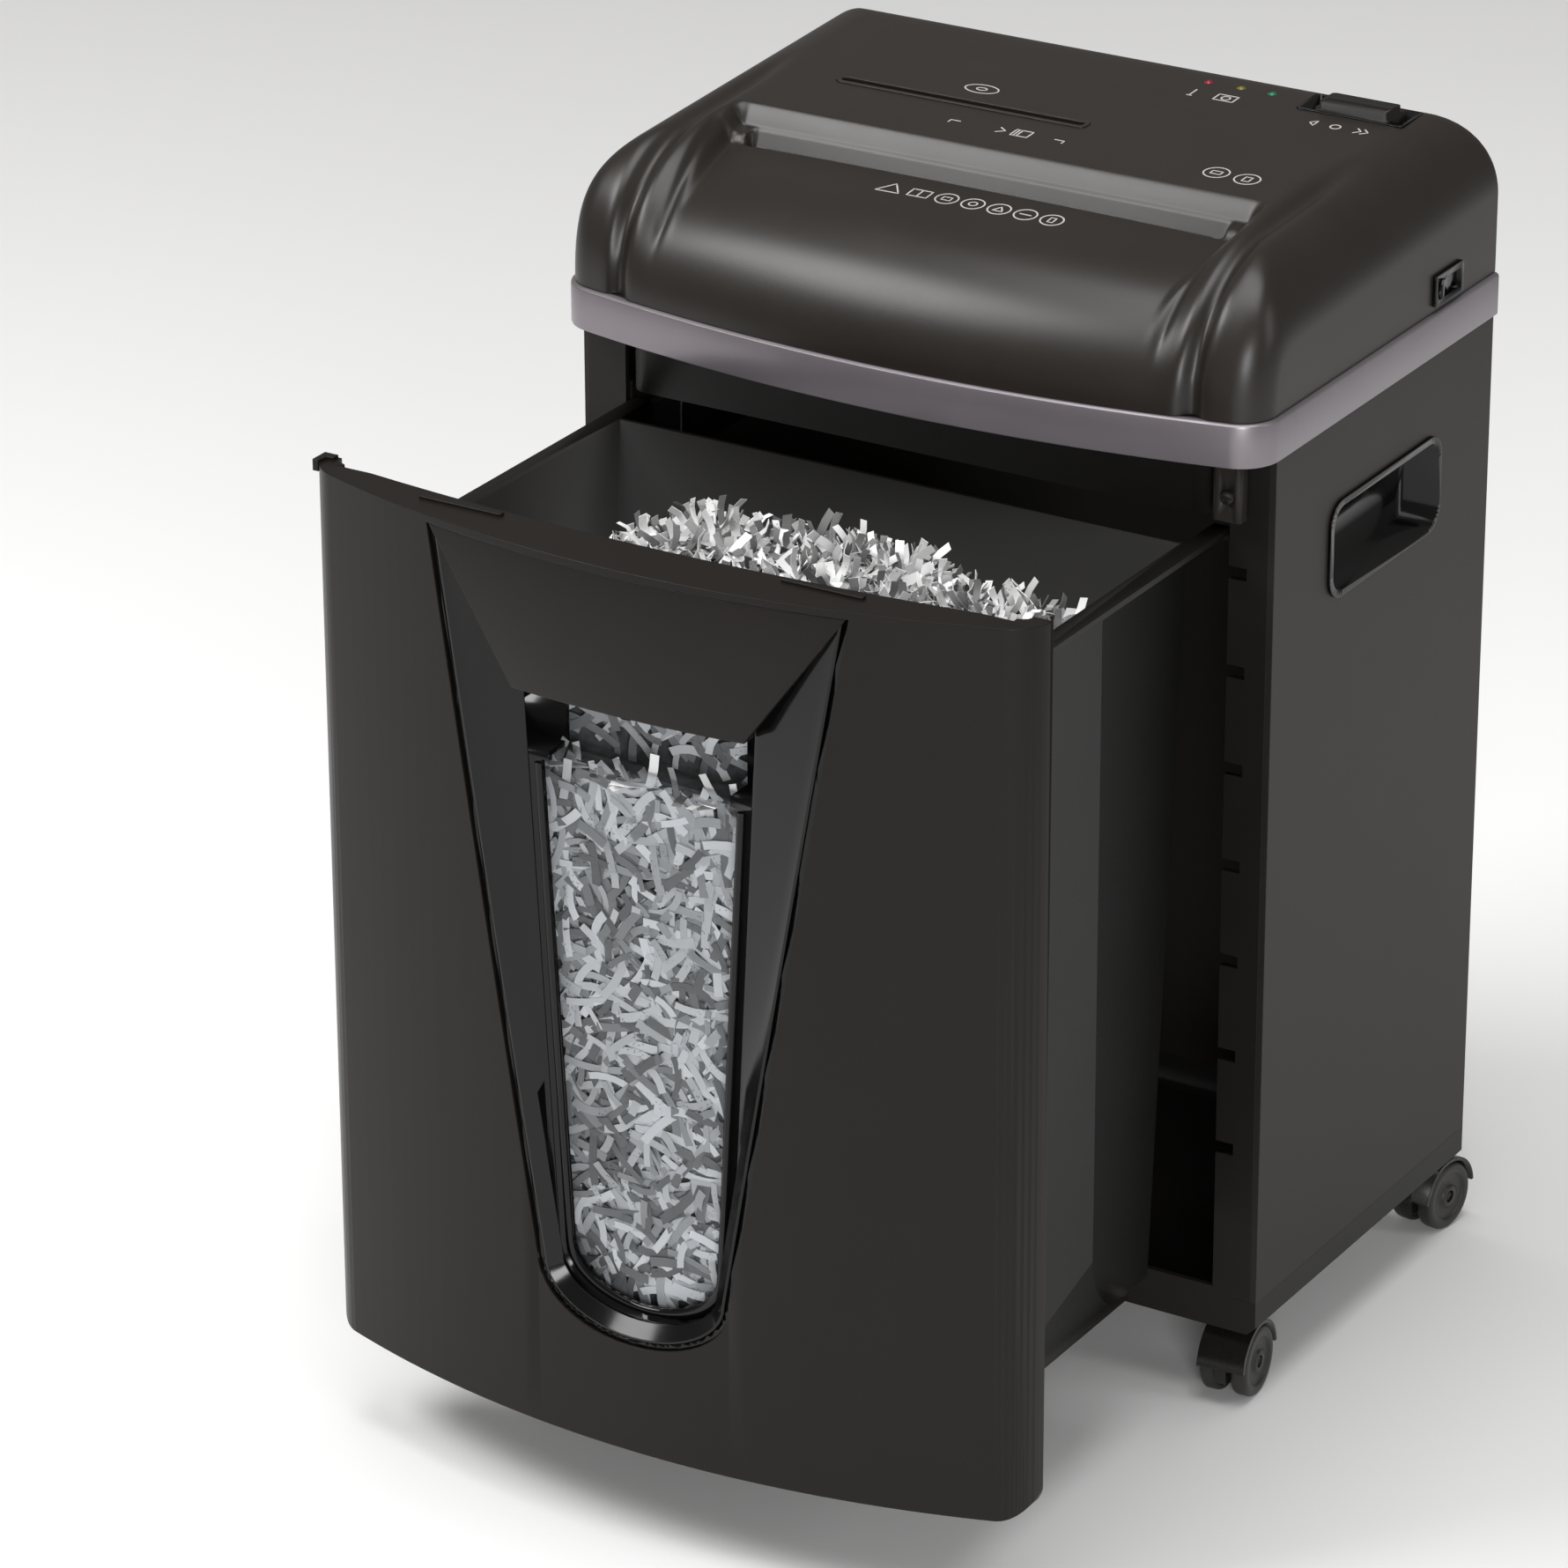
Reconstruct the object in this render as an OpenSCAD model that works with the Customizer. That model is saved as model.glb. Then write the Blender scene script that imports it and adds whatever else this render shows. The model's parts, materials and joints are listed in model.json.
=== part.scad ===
// Deskside micro-cut paper shredder on casters, with a pull-out bin.
// X runs to the right, Y to the back, Z up. The origin is on the floor, at the middle of the
// box round the whole object with its bin pulled out. Cabinet and head pieces are drawn with
// Y = 0 at the middle of the cabinet, bin pieces where they stand when the bin is pushed home.

/* [Cabinet] */
// Room beside the paper slot, out to the cabinet's side, for the gears and the rails
side_room = 65; // [65:0.5:80]
// Depth of the side panels
cab_d = 212; // [176:1:270]
// Height of the side panels
side_h = 417; // [340:1:510]
// Thickness of the cabinet walls
wall = 3; // [2:0.1:4]
// Height of the base tray
base_h = 17; // [14:0.5:24]
// Gap from the casters' fenders up to the base tray
caster_gap = 1; // [0.6:0.1:6]
// Width of the two front stiles
stile_w = 19.6; // [14:0.1:24]
// Height of the sill above the base tray
sill_h = 3.5; // [2:0.5:10]
// Notches down the inner edge of each stile
notch_count = 7; // [0:1:9]
// Height of one notch
notch_h = 6; // [4:0.5:10]
// Depth of one notch
notch_d = 9; // [4:0.5:10]

/* [Carrying cups] */
// Length of the hand hole in a side panel
cup_w = 103; // [80:1:120]
// Height of the hand hole
cup_h = 41; // [30:1:50]
// Depth of the hand hole, rim to back
cup_d = 17; // [10:0.5:17]
// Thickness of the cup's wall
cup_t = 2; // [1.5:0.1:2.5]
// Distance from the cup's middle down from the top of the side panel
cup_drop = 63; // [50:1:90]
// How far the cup's rim stands proud
cup_rim = 1.4; // [0.8:0.1:2]
// Width of the cup's rim
rim_w = 3; // [2:0.5:5]

/* [Bin] */
// Length of the bin's runners that stays in the cabinet when the bin is pulled out
runner_left = 10; // [10:1:90]
// Gap from the base tray up to the bin
bin_clear = 27; // [8:1:60]
// Gap from the top of the side panels down to the bin's rim
bin_drop = 38; // [38:0.5:60]
// Thickness of the bin's wall
bin_t = 2.4; // [1.8:0.1:3.5]
// Width of the rim that runs on the guide rails
bin_rim = 7.4; // [6:0.1:9]
// Thickness of the rim and of the rails
rail_t = 3; // [2:0.1:4]
// Depth of the bin's floor, front to back, less than at its rim
bin_lean = 26; // [0:1:40]
// How far the thick front part of the bin's side stands proud
bin_step = 3; // [1:0.1:3]
// Radius at the lower corner of that step
step_r = 34; // [10:1:60]

/* [Front panel] */
// How far the front panel stands out past each side of the cabinet
panel_over = 3.5; // [0.5:0.5:8]
// How far its bowed front stands ahead of the cabinet
panel_out = 49; // [40:1:60]
// Radius of the bow
bow_r = 510; // [400:5:900]
// Radius of its upright corners
corner_r = 22; // [14:1:24]
// Radius of its lower corners, seen from the front
foot_r = 14; // [6:1:30]
// Thickness of the panel
panel_t = 3; // [2:0.1:4]
// Width of the ledge round its top edge, at the sides
ledge_w = 9; // [6:0.5:10]
// Width of that ledge in the middle
ledge_deep = 29; // [20:1:34]
// Radius of its back edge, seen from above
ledge_bow_r = 1200; // [800:50:3000]
// How far the panel reaches below the side panels
panel_low = 8; // [4:0.5:14]

/* [Recess and window] */
// Half width of the tapered recess at the top of the panel
recess_top = 108; // [90:1:120]
// Half width of the recess where its round end begins
recess_low = 50; // [44:1:60]
// Height of the recess's bottom above the panel's bottom
recess_foot = 53; // [40:1:90]
// Depth of the recess at the window
recess_d = 13; // [8:0.5:16]
// Depth of the finger pocket behind the pull plate
pocket_d = 27; // [22:0.5:30]
// Height of the finger pocket
pocket_h = 98; // [90:1:120]
// Half width of the window at its top
window_top = 50; // [40:1:55]
// Half width of the window where its round end begins
window_low = 38; // [30:1:42]
// Height from the recess's bottom to the window's bottom
window_foot = 14; // [10:1:24]
// Distance from the finger pocket down to the window's top
window_drop = 5; // [5:0.5:60]
// Thickness of the window lens
lens_t = 2; // [1.5:0.1:3]
// Height of the pull plate
pull_h = 68; // [50:1:80]
// Half width of the pull plate's lower edge
pull_low = 58; // [45:1:70]
// Depth of the lip along its lower edge
lip_d = 8; // [5:0.5:10]

/* [Head] */
// Height of the metal-look band
band_h = 21; // [16:0.5:30]
// Thickness of the band
band_t = 2; // [1.2:0.1:3]
// How far the head's bowed front stands ahead of the cabinet
head_out = 37; // [30:1:39]
// Radius of the head's bow, seen from above
head_bow_r = 770; // [450:10:1500]
// Radius of the head's upright front corners
head_corner = 18; // [10:1:24]
// Height of the top cover at its back
cover_h = 75; // [66:1:90]
// Slope of the top, in degrees, down to the front
top_slope = 2.5; // [0:0.1:3]
// Radius along the two upper side edges
side_r = 38; // [20:1:45]
// Radius along the upper back edge
back_r = 18; // [8:1:25]
// Length of the rounded front, back from its foremost point
nose_d = 97; // [80:1:110]
// Depth of the skirt below the band
skirt_h = 30; // [24:0.5:31]
// Gap between the skirt and each stile
skirt_gap = 5.4; // [3:0.1:7]

/* [Paper and disc entry] */
// Length of the paper slot
slot_w = 230; // [180:1:300]
// Width of the paper slot
slot_t = 6; // [5:0.1:8]
// Width of the funnel above the slot
funnel_t = 22; // [16:0.5:24]
// Distance from the cabinet's front back to the paper slot
slot_in = 56; // [54:1:62]
// Length of the disc slot
disc_w = 128; // [124:1:132]
// Width of the disc slot
disc_t = 5; // [4.6:0.1:6]
// Offset of the disc slot to the left
disc_side = 45; // [30:1:50]
// Distance from the paper slot back to the disc slot
disc_back = 57; // [50:1:64]

/* [Cutters and drive] */
// How far the two sets of cutting discs reach past each other
disc_bite = 2; // [1:0.1:3]
// Distance between the two cutter shafts
shaft_gap = 34; // [28:0.2:42]
// Distance from one disc to the next
disc_pitch = 10; // [8:0.5:12]
// Share of the pitch that a disc fills
disc_fill = 0.44; // [0.3:0.01:0.46]
// Radius of the shaft ends
journal_r = 6; // [5:0.1:7]
// Running clearance of every shaft, pin and stem in its bore
fit = 0.05; // [0.02:0.01:0.1]
// Teeth on each cutter gear
cut_teeth = 17; // [17:1:17]
// Teeth on the small wheel of the reduction gear
small_teeth = 12; // [12:1:12]
// Teeth on the large wheel of the reduction gear
large_teeth = 56; // [50:1:60]
// Teeth on the motor pinion
pinion_teeth = 12; // [12:1:13]
// Module of the motor pinion and the large wheel
fine_module = 1; // [0.9:0.05:1]
// Radius of the motor's case
motor_r = 27; // [22:0.5:28]
// Length of the motor's case
motor_l = 88; // [60:1:95]

/* [Controls] */
// Length of the control slider's pocket
pocket_w = 54; // [46:1:56]
// Width of the control slider's pocket
pocket_y = 23; // [18:0.5:25]
// Travel of the control slider to each side
slider_travel = 6; // [3:0.5:7]
// Radius of a status light
light_r = 2.2; // [1.5:0.1:3]
// Length of the mains rocker's bezel
rocker_l = 28; // [22:0.5:30]
// Height of the mains rocker's bezel
rocker_h = 15; // [12:0.5:18]
// Angle that the mains rocker turns through
rocker_angle = 16; // [10:1:20]
// Radius of the hole for the mains cord
cord_r = 4; // [3:0.1:5]

/* [Casters] */
// Diameter of a caster wheel
wheel_d = 34; // [28:0.2:42]
// Width of one wheel of a pair
wheel_w = 8.4; // [6:0.1:10]
// Radius of the rounded edge of a wheel
wheel_round = 2; // [0.5:0.1:3]
// Distance from a caster's stem back to its axle
trail = 17; // [12:0.5:18]
// Radius of a caster's stem
stem_r = 5; // [4:0.1:6]
// Distance of the stems in from the cabinet's sides
stem_side = 18; // [17:0.5:40]
// Distance of the front stems back from the cabinet's front
stem_front = 31; // [24:0.5:50]
// Distance of the rear stems ahead of the cabinet's back
stem_back = 18; // [18:0.5:50]

/* [Hidden] */

$fn = 48;
eps = 0.01;
gap = 0.3;                       // clearance between pieces that are only laid together
slide_gap = 0.7;                 // clearance over and beside the bin's rim
smooth = 32;                     // facets of a rounded outline

// Casters
wheel_r = wheel_d / 2;
wheel_gap = 3.4;
fender_r = wheel_r + 3;
fender_t = 1.8;
flange_r = stem_r + 3;
flange_t = 2.2;
axle_r = 3;
base_clear = wheel_r + fender_r + caster_gap;
socket_r = stem_r + 3.5;
socket_h = base_h + 4;

// Heights above the floor
panel_z = base_clear + base_h;
band_z = panel_z + side_h;
band_top = band_z + band_h;
cover_top = band_top + cover_h;
rim_z = band_z - bin_drop;
bin_z = panel_z + bin_clear;
bin_h = rim_z - bin_z;
fascia_top = band_z - 1.5;
fascia_z = panel_z - panel_low;
skirt_z = band_z - skirt_h;

// Distances from the cabinet's middle
half_w = slot_w / 2 + side_room;
cab_w = 2 * half_w;
half_d = cab_d / 2;
panel_front = half_d + panel_out;
panel_back = half_d + 2;
panel_w = cab_w + 2 * panel_over;
stile_in = half_w - wall - stile_w;
rim_half = stile_in - 2;
bin_half = rim_half - bin_rim;
bin_front = panel_front - 11;
bin_back = half_d - 30;
bin_corner = 12;
step_y = -7;                     // back of the thick front part of the bin's side
// The bin's side walls stop behind the panel, however wide the cabinet is
side_front = min(bin_front - corner_r,
    panel_front - bow_r + sqrt(pow(bow_r - panel_t, 2) - pow(rim_half, 2)) - 1);
runner_end = half_d - wall - 2;
pull = cab_d - runner_left;      // how far the bin is pulled out at rest
skirt_w = stile_in - skirt_gap;
skirt_ahead = 7;
tub_back = half_d - wall - 3;
slot_y = slot_in - half_d;
disc_y = slot_y + disc_back;

// Each caster's side, end and swivel angle
casters = [[-1, -1, 170], [1, -1, 185], [-1, 1, 12], [1, 1, -8]];
function stem_x(c) = c[0] * (half_w - stem_side);
function stem_y(c) = c[1] < 0 ? stem_front - half_d : half_d - stem_back;
function caster_reach(turn) = trail * cos(turn) + (fender_r * abs(cos(turn)))
    + (wheel_gap + wheel_w) * abs(sin(turn));
rear_reach = half_d - stem_back + max([for (c = casters) if (c[1] > 0) caster_reach(c[2])]);

// The object's box runs from the pulled-out front panel to the rear casters
front_reach = panel_front + pull;
cab_y = (front_reach - rear_reach) / 2;

// Front panel's recess
surround_t = 2.5;
pocket_z = fascia_top - pocket_h;
window_foot_z = fascia_z + recess_foot + window_foot;
window_h = pocket_z - window_drop - window_foot_z;
upper_half = window_top - 4;     // the window's part behind the finger pocket
upper_h = pocket_h / 3;
handle_top = fascia_top - panel_t - gap;
surround_top = handle_top - gap;
pull_top_half = recess_top - 8;

// Drive
cut_z = skirt_z + 52;
disc_r = (shaft_gap + disc_bite) / 2;
front_shaft_y = slot_y - shaft_gap / 2;
rear_shaft_y = slot_y + shaft_gap / 2;
coarse_module = shaft_gap / cut_teeth;
pressure = 25;
backlash = 0.12;
small_angle = -10;
large_angle = -8;
small_dist = (cut_teeth + small_teeth) * coarse_module / 2;
large_dist = (large_teeth + pinion_teeth) * fine_module / 2;
idler_y = rear_shaft_y + small_dist * cos(small_angle);
idler_z = cut_z + small_dist * sin(small_angle);
motor_y = idler_y + large_dist * cos(large_angle);
motor_z = idler_z + large_dist * sin(large_angle);
plate_x = slot_w / 2 + 6;
plate_t = 3;
bush_r = journal_r + 2.5;
cut_gear_x = plate_x + plate_t + 2;
cut_gear_w = 10;
fine_gear_x = cut_gear_x + cut_gear_w + 1;
fine_gear_w = 6;
gearbox_x = fine_gear_x + fine_gear_w + 2.5;
pin_r = 4;
spacer_r = shaft_gap - disc_r - 1.2;
disc_step = disc_pitch * disc_fill;
disc_count = floor((slot_w - 4) / disc_pitch);
front_shift = -slot_w / 2 + 2;
rear_shift = front_shift + disc_pitch / 2;
motor_shaft_r = 4;
motor_x = plate_x - 6 - motor_l;
outlet_y = shaft_gap + disc_r;

// Paper entry
throat_w = slot_w + 16;
throat_t = funnel_t + 8;
throat_z = cut_z + disc_r + 3;
lever_z = throat_z + 8;
lever_y = slot_y + throat_t / 2 + 6;

// Cutter frame
plate_front = front_shaft_y - disc_r - 10;
plate_back = motor_y + motor_r + 4;
plate_z = skirt_z + wall + 1;
plate_top = throat_z + 12;
rod_r = 4;
rod_places = [[plate_front + 6, plate_z + 6], [plate_front + 6, plate_top - 6],
              [idler_y - 6, plate_z + 6], [rear_shaft_y + disc_r + 7, plate_top - 6]];

// Controls
control_y = half_d - 25;
pocket_x = half_w - 59;
light_xs = [pocket_x - 78, pocket_x - 61, pocket_x - 45];
light_l = 16;
pocket_depth = 9;
slider_w = pocket_w - 3 - 2 * slider_travel - 1;
rocker_y = half_d - 50;
rocker_z = band_top + rocker_h / 2 + 2.5;
rocker_pin = 1.5;
rocker_hinge_x = half_w - 4;
housing_w = 15;
housing_d = 9;
plunger_x = skirt_w + 9;
switch_half = skirt_w + housing_w + 2;   // what the bin's ledge keeps clear of
switch_front = half_d + housing_d + 1.2;
plunger_z = skirt_z + 12;
plunger_r = 3;
plunger_nose = 2;
screw_in = 15;
screw_r = 3.4;
screw_t = 1.6;
gland_x = 60 - half_w;
gland_z = band_top + 22;
gland_r = cord_r + 3;
skirt_front_inset = 32;
band_proud = 2;

bin_color = [0.11, 0.11, 0.11];
shell_color = [0.16, 0.155, 0.15];
band_color = [0.45, 0.44, 0.45];
gloss_color = [0.04, 0.04, 0.04];
steel_color = [0.62, 0.62, 0.64];
frame_color = [0.2, 0.19, 0.18];

throat_top = top_at(slot_y) - 2;

// ---------------------------------------------------------------- shared shapes

// Height of the sloping top at a distance y from the cabinet's middle
function top_at(y) = cover_top - (half_d - back_r - y) * tan(top_slope);

// Outline from above: straight back and sides, bowed front, rounded front corners
module bowed_outline(half, front, back, corner, inset, bow) {
    round_r = max(corner - inset, 0.5);
    offset(r = round_r, $fn = 4 * smooth) offset(delta = -round_r)
    offset(delta = -inset) intersection() {
        translate([-half, -front]) square([2 * half, front + back + 2 * corner]);
        translate([0, bow - front]) circle(bow, $fn = 12 * smooth);
    }
}

// A prism of that outline, cut off square at the back
module bowed_block(half, front, back, corner, inset, z0, z1, bow = bow_r) {
    translate([0, 0, z0]) linear_extrude(z1 - z0) intersection() {
        bowed_outline(half, front, back, corner, inset, bow);
        translate([-half, -front]) square([2 * half, front + back]);
    }
}

// Raises a drawing of the front view, so that it runs from y0 to y1
module from_front(y0, y1) {
    translate([0, y1, 0]) rotate([90, 0, 0]) linear_extrude(y1 - y0) children();
}

// Raises a drawing of the side view, so that it runs from x0 to x1
module from_side(x0, x1) {
    translate([x0, 0, 0]) rotate([90, 0, 90]) linear_extrude(x1 - x0) children();
}

// A rod along X
module rod_x(r, x0, x1, y, z) {
    translate([x0, y, z]) rotate([0, 90, 0]) cylinder(r = r, h = x1 - x0);
}

module rounded_rect(w, h, r) {
    offset(r = r, $fn = smooth) square([w - 2 * r, h - 2 * r], center = true);
}

// Tapered outline with a round lower end, seen from the front
module tapered_outline(top_half, low_half, z0, z1) {
    steps = 24;
    polygon(concat([[-top_half, z1], [top_half, z1]],
        [for (i = [0:steps]) let (a = -180 * i / steps)
            [low_half * cos(a), z0 + low_half * 0.62 * (1 + sin(a))]]));
}

// Front view of the recess, taken in by inset
module recess_outline(inset = 0) {
    offset(delta = -inset)
        tapered_outline(recess_top, recess_low, fascia_z + recess_foot, fascia_top + 10);
}

// Front view of the window, taken in by inset
module window_outline(inset = 0) {
    offset(delta = -inset) tapered_outline(window_top, window_low, window_foot_z,
                                           window_foot_z + window_h);
}

// ---------------------------------------------------------------- gears

function involute_turn(t) = t - atan(t * PI / 180);
function tooth_half(teeth, module_mm) = 90 / teeth
    - backlash / (module_mm * teeth / 2) * 180 / PI + tan(pressure) * 180 / PI - pressure;
function polar(r, a) = [r * cos(a), r * sin(a)];

// Outline of an involute gear, with the middle of a tooth at the angle turn
module gear_outline(teeth, module_mm, turn) {
    pitch_r = teeth * module_mm / 2;
    base_r = pitch_r * cos(pressure);
    tip_r = pitch_r + 0.95 * module_mm;
    root_r = pitch_r - 1.2 * module_mm;
    tip_t = sqrt(pow(tip_r / base_r, 2) - 1) * 180 / PI;
    half_a = tooth_half(teeth, module_mm);
    steps = 6;
    polygon([for (i = [0:teeth - 1]) let (mid = turn + i * 360 / teeth) each concat(
        [polar(root_r, mid - half_a)],
        [for (k = [0:steps]) let (t = tip_t * k / steps)
            polar(base_r * sqrt(1 + pow(t * PI / 180, 2)), mid - half_a + involute_turn(t))],
        [for (k = [steps:-1:0]) let (t = tip_t * k / steps)
            polar(base_r * sqrt(1 + pow(t * PI / 180, 2)), mid + half_a - involute_turn(t))],
        [polar(root_r, mid + half_a)])]);
}

// Turn that puts a gear in mesh with one already turned, seen at an angle from it
function mesh_turn(teeth_a, turn_a, teeth_b, angle) =
    angle + 180 - 360 / teeth_b * (0.5 - (angle - turn_a) * teeth_a / 360);

front_gear_turn = 0;
rear_gear_turn = mesh_turn(cut_teeth, front_gear_turn, cut_teeth, 0);
small_gear_turn = mesh_turn(cut_teeth, rear_gear_turn, small_teeth, small_angle);
pinion_turn = mesh_turn(large_teeth, 0, pinion_teeth, large_angle);

// A gear whose axis lies along X; a bore of 0 leaves it solid
module gear(teeth, module_mm, turn, bore_r, x0, width, y, z) {
    difference() {
        translate([0, y, z]) from_side(x0, x0 + width) gear_outline(teeth, module_mm, turn);
        if (bore_r > 0) rod_x(bore_r, x0 - 1, x0 + width + 1, y, z);
    }
}

// ---------------------------------------------------------------- cabinet

module at_cabinet() { translate([0, cab_y, 0]) children(); }

// One side panel with its hand hole; side is -1 for left and 1 for right
module side_panel(side) {
    color(shell_color) at_cabinet() difference() {
        translate([side > 0 ? half_w - wall : -half_w, -half_d, panel_z])
            cube([wall, cab_d, side_h]);
        translate([0, 0, band_z - cup_drop])
            from_side(side * half_w - 2 * wall, side * half_w + 2 * wall)
                rounded_rect(cup_w + 2 * cup_t, cup_h + 2 * cup_t, cup_h / 4);
    }
}

module left_side_panel() { side_panel(-1); }

module right_side_panel() { side_panel(1); }

// Stands its children at each screw in the back panel
module at_screws() {
    for (x = [-1, 1], z = [panel_z + screw_in, band_z - screw_in])
        translate([x * (half_w - screw_in), half_d - screw_t, z]) rotate([-90, 0, 0]) children();
}

module back_panel() {
    color(shell_color) at_cabinet() difference() {
        translate([-half_w + wall, half_d - wall, panel_z])
            cube([cab_w - 2 * wall, wall, side_h]);
        at_screws() cylinder(r = screw_r + gap, h = wall);
    }
}

module base_tray() {
    foot = 6;
    color(frame_color) at_cabinet() difference() {
        union() {
            translate([0, 0, base_clear]) linear_extrude(base_h)
                translate([-half_w, -half_d]) square([cab_w, cab_d]);
            translate([-stile_in, -half_d, panel_z])
                cube([2 * stile_in, 2 * wall, sill_h]);
        }
        translate([wall - half_w, wall - half_d, base_clear + wall])
            cube([cab_w - 2 * wall, cab_d - 2 * wall, base_h + sill_h]);
        for (c = casters) translate([stem_x(c), stem_y(c), base_clear - 1])
            cylinder(r = socket_r + fit, h = base_h);
        for (s = [-1, 1]) translate([s * half_w, 0, base_clear]) rotate([0, 45, 0])
            cube([foot, cab_d + 2, foot], center = true);
    }
}

// One front stile, notched down its inner edge
module stile(side) {
    top = side_h - gap;
    first = 73;
    step = (top - first - 60) / max(notch_count - 1, 1);
    color(frame_color) at_cabinet() difference() {
        translate([side > 0 ? stile_in : wall - half_w, -half_d, panel_z])
            cube([stile_w, wall, top]);
        for (i = [0:1:notch_count - 1])
            translate([side * stile_in - notch_d, -half_d - 1, panel_z + first + i * step])
                cube([2 * notch_d, wall + 2, notch_h]);
    }
}

module left_stile() { stile(-1); }

module right_stile() { stile(1); }

// One hand cup: a rim outside the side panel and a pocket behind it
module handle_cup(side) {
    rim_x = half_w + cup_rim;
    back_x = rim_x - cup_d - cup_t;
    color(gloss_color) at_cabinet() translate([0, 0, band_z - cup_drop])
    mirror([side < 0 ? 1 : 0, 0, 0]) difference() {
        union() {
            from_side(half_w, rim_x)
                rounded_rect(cup_w + 2 * rim_w, cup_h + 2 * rim_w, cup_h / 4 + 1);
            from_side(back_x, half_w)
                rounded_rect(cup_w + 2 * cup_t - gap, cup_h + 2 * cup_t - gap, cup_h / 4);
        }
        from_side(back_x + cup_t, rim_x + 1) rounded_rect(cup_w, cup_h, cup_h / 4 - 1);
    }
}

module left_handle_cup() { handle_cup(-1); }

module right_handle_cup() { handle_cup(1); }

// One L-shaped rail between the stile and the back panel, which carries the bin's rim
module guide_rail(side) {
    web_x = rim_half + slide_gap;
    ledge_x = bin_half + bin_step + slide_gap;
    ledge_z = rim_z - rail_t - gap;
    color(frame_color) at_cabinet() mirror([side < 0 ? 1 : 0, 0, 0]) union() {
        translate([web_x, wall - half_d, ledge_z - rail_t])
            cube([rail_t, cab_d - 2 * wall, skirt_z - ledge_z + rail_t]);
        translate([ledge_x, wall - half_d, ledge_z - rail_t])
            cube([web_x + eps - ledge_x, cab_d - 2 * wall, rail_t]);
    }
}

module left_guide_rail() { guide_rail(-1); }

module right_guide_rail() { guide_rail(1); }

module caster_sockets() {
    color(steel_color) at_cabinet() for (c = casters)
        translate([stem_x(c), stem_y(c), base_clear + gap]) difference() {
            cylinder(r = socket_r, h = socket_h);
            translate([0, 0, -1]) cylinder(r = stem_r + fit, h = socket_h - 1);
        }
}

// ---------------------------------------------------------------- head

// Side view of the head: sloping top, rounded back edge and long rounded nose
module head_profile(inset) {
    nose_z = top_at(nose_d - half_d - head_out) - band_top;
    steps = 16;
    offset(delta = -inset) polygon(concat(
        [[half_d, band_top - 20], [half_d, cover_top - back_r]],
        [for (i = [1:6]) let (a = 90 * i / 6)
            [half_d - back_r + back_r * cos(a), cover_top - back_r + back_r * sin(a)]],
        [for (i = [0:steps]) let (a = 90 + 90 * i / steps)
            [nose_d - half_d - head_out + nose_d * cos(a), band_top + nose_z * sin(a)]],
        [[-half_d - head_out, band_top - 20]]));
}

// Front view of the head: upright sides with rounded upper edges
module head_section(inset) {
    offset(r = side_r - inset, $fn = 2 * smooth) offset(delta = -side_r)
        translate([-half_w, band_top - 100]) square([cab_w, cover_h + 100]);
}

// The head's outer form above the band, taken in by inset
module head_form(inset) {
    intersection() {
        bowed_block(half_w, half_d + head_out, half_d, head_corner, inset,
                    band_top - 10, cover_top + 10, head_bow_r);
        from_side(-half_w - 1, half_w + 1) head_profile(inset);
        from_front(-half_d - head_out - 1, half_d + 1) head_section(inset);
    }
}

// Ring of the bowed outline between two insets
module head_ring(inset_out, inset_in, z0, z1) {
    difference() {
        bowed_block(half_w, half_d + head_out, half_d, head_corner, inset_out, z0, z1,
                    head_bow_r);
        bowed_block(half_w, half_d + head_out, half_d - inset_in, head_corner, inset_in,
                    z0 - 1, z1 + 1, head_bow_r);
    }
}

module head_chassis() {
    color(shell_color) at_cabinet() difference() {
        union() {
            translate([0, 0, skirt_z]) linear_extrude(skirt_h + eps)
                translate([0, (tub_back - half_d - skirt_ahead) / 2])
                    rounded_rect(2 * skirt_w, tub_back + half_d + skirt_ahead, 10);
            head_ring(band_t + gap, skirt_front_inset, band_z, band_z + wall);
            head_ring(band_t + gap, band_t + gap + wall, band_z, band_top - gap);
        }
        translate([wall - skirt_w, wall - half_d - skirt_ahead, skirt_z + wall])
            cube([2 * (skirt_w - wall), tub_back + half_d + skirt_ahead - 2 * wall,
                  skirt_h + wall]);
        translate([-slot_w / 2, slot_y - outlet_y / 2, skirt_z - 1])
            cube([slot_w, outlet_y, wall + 2]);
    }
}

// Coloured band round the foot of the head
module trim_band() {
    color(band_color) at_cabinet() difference() {
        bowed_block(half_w + band_proud, half_d + head_out + band_proud, half_d,
                    head_corner, 0, band_z, band_top - gap, head_bow_r);
        bowed_block(half_w, half_d + head_out, half_d + 1, head_corner, band_t, band_z - 1,
                    band_top + 1, head_bow_r);
    }
}

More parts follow.
